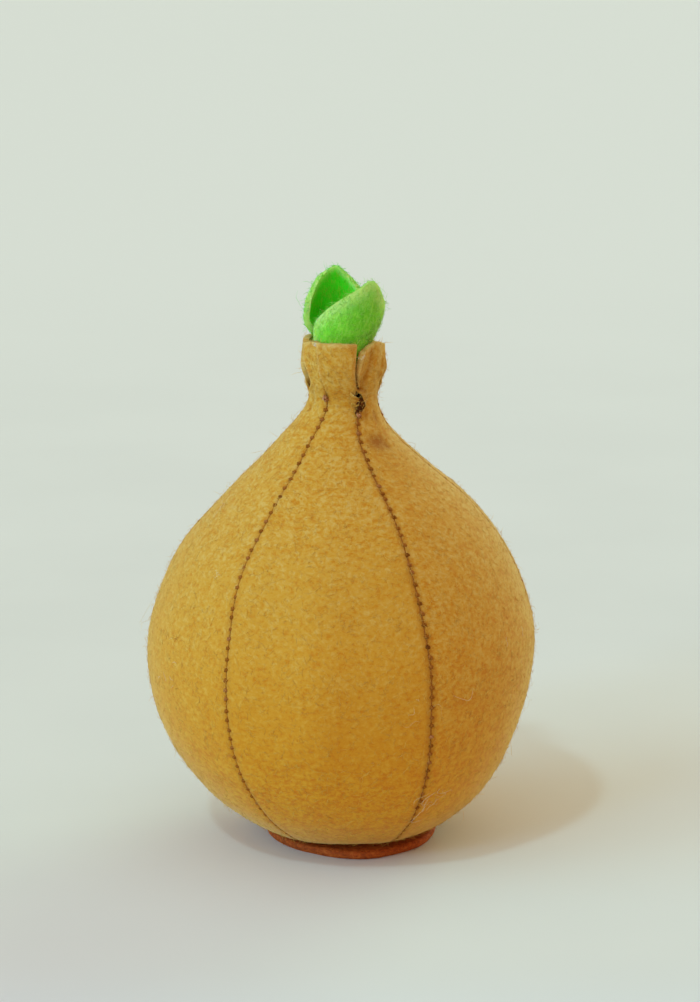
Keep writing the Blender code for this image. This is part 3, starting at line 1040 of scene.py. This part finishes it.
def tube_mesh(name, points, radius):
    """A six-sided tube along points, closed at both ends."""
    curve = bpy.data.curves.new(name, "CURVE")
    curve.dimensions = "3D"
    curve.bevel_depth = radius
    curve.bevel_resolution = 1
    curve.use_fill_caps = True
    spline = curve.splines.new("POLY")
    spline.points.add(len(points) - 1)
    for knot, point in zip(spline.points, points):
        knot.co = (*point, 1.0)
    holder = link(name, curve)
    mesh = finished_mesh(holder)
    bpy.data.objects.remove(holder)
    bm = bmesh.new()
    bm.from_mesh(mesh)
    bmesh.ops.remove_doubles(bm, verts=bm.verts, dist=0.001 * MM)
    bm.to_mesh(mesh)
    bm.free()
    return mesh


def joined(name, meshes):
    """One mesh of several closed ones."""
    bm = bmesh.new()
    for mesh in meshes:
        bm.from_mesh(mesh)
        bpy.data.meshes.remove(mesh)
    return add_mesh(name, bm)


def stitch_points(frame_here, aside, half, slant, lift):
    """Centre line of one stitch, out of the felt on one side of the seam and down on the other."""
    point, along, across, outwards = frame_here
    line = []
    for step in range(STITCH_STEPS):
        t = 2 * step / (STITCH_STEPS - 1) - 1
        off = lift - SEAM_DIP - STITCH_SINK * t**4
        line.append(point + across * (aside + t * half) + along * (slant * t * half) + outwards * off)
    return line


def twisted(line, radius, phase):
    """One ply of a thread that follows a line."""
    plies = []
    for step, point in enumerate(line):
        ahead = line[min(step + 1, len(line) - 1)]
        behind = line[max(step - 1, 0)]
        along = (ahead - behind).normalized()
        axis = Vector((0.0, 0.0, 1.0) if abs(along.z) < 0.9 else (1.0, 0.0, 0.0))
        side = along.cross(axis).normalized()
        other = along.cross(side)
        angle = phase + step * PLY_TWIST
        plies.append(point + (side * math.cos(angle) + other * math.sin(angle)) * radius)
    return plies


def thread_parts(line, radius, tone):
    """The plies of a thread along a line, each with its Tone."""
    lines = [twisted(line, radius * PLY_OFFSET, ply * math.pi) for ply in range(PLIES)]
    return [(tube_mesh("ply", line, radius * PLY_RADIUS), tone) for line in lines]


def tangle_parts(seam, place, aside, long_half, wide_half, loops, tone, radius, rng):
    """A tangle of thread: open loops that lie across each other over the seam."""
    point, along, across, outwards = seam_frame(seam, place)
    parts = []
    for _ in range(loops):
        middle = rng.uniform(-1, 1, 2) * (LOOP_SCATTER[0] * long_half, LOOP_SCATTER[1] * wide_half)
        reach = rng.uniform(*LOOP_LENGTHS) * long_half
        breadth = rng.uniform(*LOOP_BREADTHS) * wide_half
        turn = rng.normal(*LOOP_TURNS)
        start, sweep = rng.uniform(0, math.tau), rng.uniform(*LOOP_SWEEPS)
        height = rng.uniform(*LOOP_HEIGHTS)
        line = []
        for step in range(TANGLE_STEPS):
            angle = start + sweep * step / (TANGLE_STEPS - 1)
            u, v = reach * math.cos(angle), breadth * math.sin(angle)
            run = middle[0] + u * math.cos(turn) - v * math.sin(turn)
            side = aside + middle[1] + u * math.sin(turn) + v * math.cos(turn)
            rise = height + LOOP_RISE * math.sin(2 * angle)
            line.append(point + MM * (along * run + across * side + outwards * rise))
        loop_tone = tone + rng.normal(0.0, LOOP_TONE_SPREAD)
        parts += thread_parts(line, radius, max(0.0, min(1.0, loop_tone)))
    return parts


def sunken(place):
    """How far the thread sinks towards the base, in millimetres."""
    return FAINT_SINK * (1 - ease(FAINT_END, FAINT_START, place))


def seam_mesh(seam, settings):
    """A seam's stitches and the tangle at its top, with the Tone of each thread."""
    rng = np.random.default_rng(300 + seam)
    aside, half, slant, stand = STITCHES[seam]
    run = []
    for place in even_places(seam, THREAD_START, THREAD_END, RUN_SPACING):
        point, _, _, outwards = seam_frame(seam, place)
        run.append(point - outwards * (RUN_DEPTHS[seam] + sunken(place)) * MM)
    parts = thread_parts(run, RUN_SHARE * settings.thread_radius, RUN_TONE)
    for place in even_places(seam, THREAD_START, THREAD_END, settings.stitch_pitch):
        place += rng.normal(0.0, PLACE_SPREAD)
        here = seam_frame(seam, place)
        buried = rng.random() < BURIED_SHARE
        middle = (aside + MIDDLE_SPREAD * rng.normal()) * MM
        reach = half * rng.uniform(*REACHES) * MM
        lift = (BURIED_LIFT if buried else stand - sunken(place) + LIFT_SPREAD * rng.normal()) * MM
        line = stitch_points(here, middle, reach, slant + SLANT_SPREAD * rng.normal(), lift)
        parts += thread_parts(line, settings.thread_radius, THREAD_TONE + TONE_SPREAD * rng.normal())
        # A pale loose ply beside some stitches, as a painted highlight
        if rng.random() < PALE_PLY_SHARE:
            side, length = middle + PALE_ASIDE * reach, PALE_REACH * reach
            tail = stitch_points(here, side, length, rng.normal(0.0, PALE_SLANT), lift)
            parts.append((tube_mesh("tail", tail, PALE_SHARE * settings.thread_radius), PALE_TONE))
    for number, *tangle in TANGLES:
        if number == seam:
            parts += tangle_parts(seam, *tangle, TANGLE_SHARE * settings.thread_radius, rng)
    tones = np.concatenate([np.full(len(mesh.vertices), tone) for mesh, tone in parts])
    mesh = joined(f"seam_thread_{seam + 1}", [mesh for mesh, _ in parts])
    set_attribute(mesh, "Tone", tones)
    return mesh


class FELT_ONION_PG_sewing(bpy.types.PropertyGroup):
    """Sewing thread"""

    thread_radius: length_property("Thread radius", "Half the thickness of the sewing thread", 0.42 * MM)
    stitch_pitch: length_property("Stitch pitch", "Distance from one stitch to the next", 2.2 * MM)
    # Painted shade of the thread deep in a tangle
    dark: colour_property("Tangle colour", "Thread deep in a tangle", (0.085, 0.025, 0.008))
    colour: colour_property("Thread colour", "Colour of the thread", (0.34, 0.115, 0.013))
    lit: colour_property("Thread highlight", "Its pale loose plies", (0.60, 0.30, 0.15))


class FELT_ONION_OT_seams(bpy.types.Operator):
    """Adds the thread and stitches of the six seams"""

    bl_idname = "felt_onion.add_seams"
    bl_label = "Add seams"

    def execute(self, context):
        settings = context.scene.felt_onion_sewing
        thread = thread_material("Brown thread", settings.dark, settings.colour, settings.lit)
        for seam in range(len(SEAMS)):
            name = f"seam_thread_{seam + 1}"
            add_piece(f"stitches_{seam + 1}", seam_mesh(seam, settings), thread, "sewing_thread", name)
        return {"FINISHED"}


# Leaves


def leaf_mesh(name, sections, facing, edge_highlight_width, lump_height):
    """A cupped leaf as one sheet, with its cloth map in metres."""
    foot, tip = sections[0][0], sections[-1][0]
    bm = bmesh.new()
    bmesh.ops.create_grid(bm, x_segments=LEAF_COLUMNS, y_segments=LEAF_ROWS, size=1.0)
    cloth = bm.loops.layers.uv.new("Cloth")
    spots = {}
    for vert in bm.verts:
        height = foot + (tip - foot) * (vert.co.y + 1) / 2
        section = [smooth(sections, height, column) for column in range(1, len(sections[0]))]
        centre_x, centre_y, radius, left, right = section
        share = (vert.co.x + 1) / 2
        azimuth = math.radians(-left * (1 - share) + right * share)
        spots[vert] = (azimuth * radius * MM, height * MM)
        azimuth += facing
        vert.co = MM * Vector(
            (centre_x + radius * math.sin(azimuth), centre_y - radius * math.cos(azimuth), height)
        )
    bm.normal_update()
    for vert in bm.verts:
        relief = sum(share * lumps(vert.co, size, seed) for share, size, seed in LEAF_LUMPS)
        vert.co += vert.normal * relief * lump_height
        for loop in vert.link_loops:
            loop[cloth].uv = spots[vert]
    open_edges = [vert.co.copy() for vert in bm.verts if vert.is_boundary and vert.co.z > LEAF_SHOWN]
    # Painted shade on the foot down in the collar, and a painted highlight along the cut edges in view
    rims, shades = [], []
    for vert in bm.verts:
        shades.append(LEAF_FOOT_SHADE - LEAF_FOOT_SHADE * ease(*LEAF_SHADE, vert.co.z))
        nearest = min((vert.co - edge).length for edge in open_edges)
        rims.append(math.exp(-((nearest / edge_highlight_width) ** 2)))
    width = max((section[4] + section[5]) * section[3] for section in sections) * math.radians(MM)
    area = sum(face.calc_area() for face in bm.faces)
    mesh = add_mesh(name, bm)
    set_attribute(mesh, "EdgeWoolAndHighlight", rims)
    set_attribute(mesh, "PaintedShade", shades)
    return mesh, width, (tip - foot) * MM, area


def above_collar(centres, normals):
    """1 for the part of a leaf in view, more for its cut edges, 0 for its foot."""
    edges = 1 + CUT_EDGE_FIBRES * (np.abs(normals[:, 2]) > CUT_EDGE_SLOPE)
    return np.where(centres[:, 2] > LEAF_SHADE[1], edges, 0.0)


class FELT_ONION_PG_leaves(bpy.types.PropertyGroup):
    """Felt of the leaves"""

    thickness: length_property("Felt thickness", "Thickness of the leaves' felt", FELT_THICKNESS)
    base: colour_property("Felt colour", "Main colour of the leaves", (0.17, 0.61, 0.019))
    deep: colour_property("Deep colour", "Wool in the hollows", (0.12, 0.53, 0.012))
    pale: colour_property("Pale colour", "Loose pale wool", (0.28, 0.68, 0.055))
    # Painted highlight on the leaves' lit cut edges, with their pale loose wool
    rim: colour_property("Cut edge colour", "Loose wool of cut edges", (0.55, 0.78, 0.2))
    # Painted shade: the back leaf's inside, a darker shaded copy of the leaf felt
    inner: colour_property("Inner colour", "Main colour of the back leaf", (0.045, 0.70, 0.003))
    foot: colour_property("Foot colour", "Shaded foot of the leaves", (0.055, 0.035, 0.006))
    fibre_count: count_property("Loose fibres on each leaf", 3200)
    fibre_length: length_property("Fibre length", "Usual length of a loose fibre", 0.95 * MM)
    fibre_thickness: length_property("Fibre thickness", "Thickness of a loose fibre", 0.05 * MM)


class FELT_ONION_OT_leaves(bpy.types.Operator):
    """Adds the two green felt leaves and their loose fibres"""

    bl_idname = "felt_onion.add_leaves"
    bl_label = "Add leaves"

    def execute(self, context):
        settings = context.scene.felt_onion_leaves
        # The back leaf is painted in its shaded colours
        colours = (
            (settings.base, settings.pale, settings.deep, settings.rim),
            (settings.inner, settings.base, settings.inner, settings.base),
        )
        for number, (name, sections, facing) in enumerate(LEAVES):
            base, pale, deep, loose = colours[number]
            wool = fibre_material(f"Green wool {number + 1}", base, loose)
            felt = felt_material(
                f"Green felt {number + 1}",
                base,
                deep,
                pale,
                fleck=0.8,
                streak=(1.6, 0.5),
                shade_colour=settings.foot,
                rim=settings.rim,
                rim_mix=(0.8, 1.0),
                sheen=base,
                glow=0.6,
            )
            rng = np.random.default_rng(200 + number)
            edge_highlight_width = LEAF_EDGE_HIGHLIGHT_WIDTHS[number]
            mesh, width, length, area = leaf_mesh(name, sections, facing, edge_highlight_width, LEAF_LUMP_HEIGHT)
            piece = add_piece(f"felt_{name}", mesh, felt, "leaf_felt", name)
            thicken(piece, settings.thickness, 0.0, LEAF_ROUNDING)
            fuzz = add_fuzz(f"{name}_fuzz", piece, rng, settings, wool, "leaf_felt", above_collar)
        return {"FINISHED"}


# Base disc


def disc_mesh():
    """The disc turned from a half section, with a slightly uneven cut edge."""
    radii = [DISC_RADIUS * ring / DISC_RINGS for ring in range(DISC_RINGS)] + [DISC_RADIUS - DISC_EDGE]
    section = [(radius, DISC_THICKNESS) for radius in radii]
    section += [(DISC_RADIUS, DISC_THICKNESS - DISC_EDGE), (DISC_RADIUS + DISC_SWELL, DISC_THICKNESS / 2)]
    section += [(DISC_RADIUS, DISC_EDGE), (DISC_RADIUS - DISC_EDGE, 0.0)]
    section += [(radius, 0.0) for radius in reversed(radii[:-1:4])]
    bm = revolved(section, DISC_STEPS)
    cloth = bm.loops.layers.uv.new("Cloth")
    for vert in bm.verts:
        point = vert.co.copy()
        share = (point.xy.length / DISC_RADIUS) ** 4
        azimuth = math.degrees(math.atan2(point.x, -point.y))
        bulge = sum(far * math.exp(-(((azimuth - at) / half) ** 2)) for at, half, far in DISC_BULGES)
        uneven = DISC_WAVE * noise.noise(point.normalized() * DISC_WAVES)
        wave = 1 + share * (uneven + bulge * MM / DISC_RADIUS)
        vert.co.x, vert.co.y = point.x * wave, point.y * wave
        if point.z > DISC_THICKNESS / 4:
            vert.co.z += DISC_LUMP_HEIGHT * lumps(point, DISC_LUMP_SIZE, 5)
        vert.co.x += lean(0.0)
        for loop in vert.link_loops:
            loop[cloth].uv = point.xy * (1 + (DISC_THICKNESS - point.z) / DISC_RADIUS)
    return add_mesh("base_disc", bm)


class FELT_ONION_PG_base(bpy.types.PropertyGroup):
    """Felt of the base"""

    base: colour_property("Felt colour", "Main colour of the base", (0.37, 0.066, 0.007))
    deep: colour_property("Deep colour", "Wool in the hollows", (0.22, 0.034, 0.004))
    pale: colour_property("Pale colour", "Loose pale wool", (0.50, 0.125, 0.018))
    fibre_count: count_property("Loose fibres on the base", 2200)
    fibre_length: length_property("Fibre length", "Usual length of a loose fibre", 0.9 * MM)
    fibre_thickness: length_property("Fibre thickness", "Thickness of a loose fibre", 0.045 * MM)


def clear_of_floor(centres, normals):
    """1 for the disc's rim and the top that shows, 0 for its underside."""
    outside = np.hypot(centres[:, 0], centres[:, 1]) > DISC_SHOWN
    return np.where((centres[:, 2] > DISC_EDGE) & outside, 1.0, 0.0)


class FELT_ONION_OT_base(bpy.types.Operator):
    """Adds the felt disc that the onion stands on"""

    bl_idname = "felt_onion.add_base"
    bl_label = "Add base disc"

    def execute(self, context):
        settings = context.scene.felt_onion_base
        felt = felt_material("Rust felt", settings.base, settings.deep, settings.pale, fleck=0.9)
        wool = fibre_material("Rust wool", settings.base, settings.pale)
        disc = add_piece("felt_base_disc", disc_mesh(), felt, "base_felt", "base_disc")
        rng = np.random.default_rng(250)
        fuzz = add_fuzz("base_fuzz", disc, rng, settings, wool, "base_felt", clear_of_floor, DISC_FIBRES)
        return {"FINISHED"}


# Filling


def filling_mesh():
    """The stuffing, turned from a half section inside the felt and pushed about in lumps."""
    inset = FELT_THICKNESS + FILLING_GAP
    points = []
    rows = round(FILLING_TOP * FILLING_ROWS)
    for row in range(rows + 1):
        place = FILLING_TOP * row / rows
        radius, height = outline(place)
        out_radius, out_height = outward(place)
        flat_radius = radius * (1 - GORE_FLATNESS)
        points.append((max(flat_radius - inset * out_radius, 0.0), height - inset * out_height))
    points.reverse()
    section = [(0.0, points[0][1])] + points + [(0.0, points[-1][1])]
    bm = revolved(section, FILLING_STEPS)
    for vert in bm.verts:
        point = vert.co.copy()
        depth = sum(far * (0.5 + 0.5 * lumps(point, size, seed)) for far, size, seed in FILLING_LUMPS)
        vert.co -= vert.normal * depth * MM
        vert.co.x += lean(point.z)
    return add_mesh("filling", bm)


class FELT_ONION_PG_filling(bpy.types.PropertyGroup):
    """Stuffing"""

    colour: colour_property("Filling colour", "Colour of the fibre", (0.82, 0.81, 0.77))


class FELT_ONION_OT_filling(bpy.types.Operator):
    """Adds the white fibre filling inside the body"""

    bl_idname = "felt_onion.add_filling"
    bl_label = "Add filling"

    def execute(self, context):
        settings = context.scene.felt_onion_filling
        fibre = filling_material("White filling", settings.colour)
        filling = add_piece("filling", filling_mesh(), fibre, "filling", "stuffing")
        return {"FINISHED"}


# Stray fibres

# Loose hairs on the felt: azimuth in degrees, height, how far they scatter and their length, in
# millimetres, and their number
STRAY_HAIRS = (
    (34.0, 18.3, 1.3, 3.6, 12),
    (24.0, 40.0, 3.0, 2.6, 5),
    (-87.7, 55.8, 0.9, 2.8, 8),
    (-74.1, 75.4, 0.8, 4.5, 4),
    (-46.8, 64.3, 0.25, 0.8, 7),
    (-60.0, 40.0, 7.0, 1.8, 6),
    (60.0, 45.0, 7.0, 2.0, 8),
)
FILLING_WISPS = (
    (-44.3, 110.1, 0.15, 0.45, 14),
    (26.5, 107.8, 0.12, 0.35, 10),
)
# Their height off the felt, how much their lengths vary, their lift and curls as shares of a length,
# how much their thickness varies, and the rings and sides of each
STRAY_HEIGHT = 0.05 * MM
STRAY_SPREAD = 0.35
STRAY_LIFTS, STRAY_CURLS = (0.05, 0.06), (0.3, 0.18)
STRAY_THICKNESSES = (0.7, 1.2)
STRAY_RINGS, STRAY_SIDES = 8, 4


def stray_mesh(spots, thickness, rng):
    """Curly strands that lie on the felt in loose bunches."""
    roots, ways, normals, lengths = [], [], [], []
    for azimuth, height, scatter, length, count in spots:
        place = place_at(height * MM)
        out_radius, out_height = outward(place)
        turn = math.radians(azimuth)
        normal = np.array((out_radius * math.sin(turn), -out_radius * math.cos(turn), out_height))
        across = np.array((math.cos(turn), math.sin(turn), 0.0))
        upwards = np.cross(normal, across)
        centre = np.array(on_round(turn, outline(place)[0], height * MM)) + STRAY_HEIGHT * normal
        offsets = rng.normal(0.0, scatter * MM, (count, 2))
        roots.append(centre + offsets[:, :1] * across + offsets[:, 1:] * upwards)
        angles = rng.uniform(0.0, math.tau, (count, 1))
        ways.append(np.cos(angles) * across + np.sin(angles) * upwards)
        normals.append(np.tile(normal, (count, 1)))
        lengths.append(length * MM * rng.lognormal(0.0, STRAY_SPREAD, count))
    roots, ways, normals, lengths = (np.concatenate(part) for part in (roots, ways, normals, lengths))
    count = len(roots)
    lifts = lengths[:, None] * np.abs(rng.normal(0.0, STRAY_LIFTS, (count, 2)))
    curls = lengths[:, None] * rng.normal(0.0, STRAY_CURLS, (count, 2))
    radii = thickness / 2 * rng.uniform(*STRAY_THICKNESSES, count)
    return strands(STRAY_RINGS, STRAY_SIDES, rng, roots, ways, normals, lengths, lifts, curls, radii)


class FELT_ONION_PG_strays(bpy.types.PropertyGroup):
    """Stray fibres"""

    thickness: length_property("Hair thickness", "Thickness of a stray hair", 0.05 * MM)
    dark: colour_property("Wool colour", "Darker stray wool", (0.72, 0.55, 0.25))
    light: colour_property("Pale colour", "Paler stray wool", (0.90, 0.82, 0.62))
    white: colour_property("Filling colour", "Wisps of the filling", (0.95, 0.95, 0.93))


class FELT_ONION_OT_strays(bpy.types.Operator):
    """Adds stray hairs on the felt and wisps of filling in the collar"""

    bl_idname = "felt_onion.add_strays"
    bl_label = "Add stray fibres"

    def execute(self, context):
        settings = context.scene.felt_onion_strays
        rng = np.random.default_rng(400)
        hairs = fibre_material("Stray wool", settings.dark, settings.light)
        white = fibre_material("Filling wisps", settings.light, settings.white)
        add_piece("stray_hairs", stray_mesh(STRAY_HAIRS, settings.thickness, rng), hairs, "body_felt")
        add_piece("filling_wisps", stray_mesh(FILLING_WISPS, settings.thickness, rng), white, "filling")
        return {"FINISHED"}


# Stage


class FELT_ONION_PG_stage(bpy.types.PropertyGroup):
    """Floor, light and camera"""

    floor_colour: colour_property("Floor colour", "Colour of the pale cloth", (0.72, 0.74, 0.68))
    surround_colour: colour_property("Surround colour", "Colour of the light all round", (1.0, 0.66, 0.49))
    surround_strength: FloatProperty(
        name="Surround", description="Strength of the light all round", default=0.66
    )
    focal_length: FloatProperty(
        name="Focal length", description="Lens of the camera", default=107.784, unit="CAMERA"
    )


CAMERA_PLACE = Vector((1.7, -633.05, 221.69)) * MM
CAMERA_PITCH = math.radians(13.078)
SENSOR = 36.0
FLOOR_RADIUS = 60.0
FLOOR_STEPS = 96
# Painted light on the cloth: cooler between these depths and within these distances, lighter between these
# depths
COOL_DEPTHS = (-0.07, -0.15)
COOL_REACH = (0.34, 0.16)
PAINTED_COOL_LIGHT_GAINS = (0.97, 1.03, 1.15)
FAR_DEPTHS = (0.1, 0.9)
PAINTED_FAR_LIGHT_GAIN = 1.03
# What is left of the cloth's colour where it ends in the distance, in red, green and blue
SKYLINE_GAINS = (0.904, 0.968, 0.947)

# Lights: name, direction towards it, softness in degrees, strength, colour
LIGHTS = (
    ("key", (-0.37, -0.58, 1.0), 4.0, 0.5, (0.5, 0.83, 1.0)),
    ("window", (-1.0, -0.37, 0.38), 55.0, 1.45, (0.34, 0.8, 1.14)),
    ("side", (-1.0, -0.35, 0.05), 30.0, 0.8, (0.34, 0.8, 1.0)),
    ("low_window", (-0.98, -1.27, 1.0), 12.0, 0.38, (0.25, 0.54, 1.0)),
    ("rim", (1.0, 1.35, 0.45), 40.0, 1.4, (0.6, 1.0, 0.68)),
    ("ceiling", (0.0, 0.0, 1.0), 70.0, 0.39, (0.25, 0.88, 1.0)),
)


def add_light(name, towards, softness, strength, colour):
    """A distant light from the direction given, as wide across as the softness in degrees."""
    light = bpy.data.lights.new(name, "SUN")
    light.angle = math.radians(softness)
    light.energy = strength
    light.color = colour
    holder = link(name, light)
    holder.location = towards
    holder.rotation_euler = Vector(towards).to_track_quat("Z", "Y").to_euler()


class FELT_ONION_OT_stage(bpy.types.Operator):
    """Adds the pale floor, the soft lights and the camera"""

    bl_idname = "felt_onion.add_stage"
    bl_label = "Add stage"

    def execute(self, context):
        settings = context.scene.felt_onion_stage
        scene = context.scene
        bm = bmesh.new()
        bmesh.ops.create_circle(bm, cap_ends=True, segments=FLOOR_STEPS, radius=FLOOR_RADIUS)
        mesh = add_mesh("floor", bm)
        mesh.materials.append(backdrop_material("Pale cloth", settings.floor_colour))
        floor = link("floor", mesh)

        world = bpy.data.worlds.new("Soft surround")
        world.use_nodes = True
        tree = world.node_tree
        surround = tree.nodes["Background"]
        fill(tree, surround.inputs["Color"], settings.surround_colour)
        fill(tree, surround.inputs["Strength"], settings.surround_strength)
        skyline = [part * gain for part, gain in zip(settings.floor_colour, SKYLINE_GAINS)]
        seen = add_node(tree, "ShaderNodeBackground", {"Color": skyline}).outputs[0]
        straight = add_node(tree, "ShaderNodeLightPath").outputs["Is Camera Ray"]
        ways = {0: straight, 1: surround.outputs[0], 2: seen}
        both = add_node(tree, "ShaderNodeMixShader", ways).outputs[0]
        tree.links.new(both, tree.nodes["World Output"].inputs["Surface"])
        scene.world = world
        for name, towards, softness, strength, colour in LIGHTS:
            add_light(name, towards, softness, strength, colour)

        lens = bpy.data.cameras.new("camera")
        lens.lens = settings.focal_length
        lens.sensor_width = SENSOR
        lens.sensor_fit = "AUTO"
        camera = link("camera", lens)
        camera.location = CAMERA_PLACE
        camera.rotation_euler = (math.pi / 2 - CAMERA_PITCH, 0.0, 0.0)
        scene.camera = camera
        scene.view_settings.view_transform = "Standard"
        return {"FINISHED"}


class FELT_ONION_PT_panel(bpy.types.Panel):
    """Each step's button, with its sizes and colours below it"""

    bl_label = "Felt Onion"
    bl_idname = "FELT_ONION_PT_panel"
    bl_space_type = "VIEW_3D"
    bl_region_type = "UI"
    bl_category = "Felt Onion"

    def draw(self, context):
        for group, _, operator in STEPS:
            box = self.layout.box()
            box.operator(operator.bl_idname)
            settings = getattr(context.scene, group)
            for name in settings.bl_rna.properties.keys():
                if name not in ("rna_type", "name"):
                    box.prop(settings, name)


STEPS = (
    ("felt_onion_stage", FELT_ONION_PG_stage, FELT_ONION_OT_stage),
    ("felt_onion_body", FELT_ONION_PG_body, FELT_ONION_OT_body),
    ("felt_onion_sewing", FELT_ONION_PG_sewing, FELT_ONION_OT_seams),
    ("felt_onion_leaves", FELT_ONION_PG_leaves, FELT_ONION_OT_leaves),
    ("felt_onion_base", FELT_ONION_PG_base, FELT_ONION_OT_base),
    ("felt_onion_filling", FELT_ONION_PG_filling, FELT_ONION_OT_filling),
    ("felt_onion_strays", FELT_ONION_PG_strays, FELT_ONION_OT_strays),
)


def register():
    for name, group, operator in STEPS:
        bpy.utils.register_class(group)
        bpy.utils.register_class(operator)
        setattr(bpy.types.Scene, name, PointerProperty(type=group))
    bpy.utils.register_class(FELT_ONION_PT_panel)


def unregister():
    bpy.utils.unregister_class(FELT_ONION_PT_panel)
    for name, group, operator in reversed(STEPS):
        delattr(bpy.types.Scene, name)
        bpy.utils.unregister_class(operator)
        bpy.utils.unregister_class(group)


def main():
    register()
    bpy.ops.felt_onion.add_stage()
    bpy.ops.felt_onion.add_body()
    bpy.ops.felt_onion.add_seams()
    bpy.ops.felt_onion.add_leaves()
    bpy.ops.felt_onion.add_base()
    bpy.ops.felt_onion.add_filling()
    bpy.ops.felt_onion.add_strays()


if __name__ == "__main__":
    main()
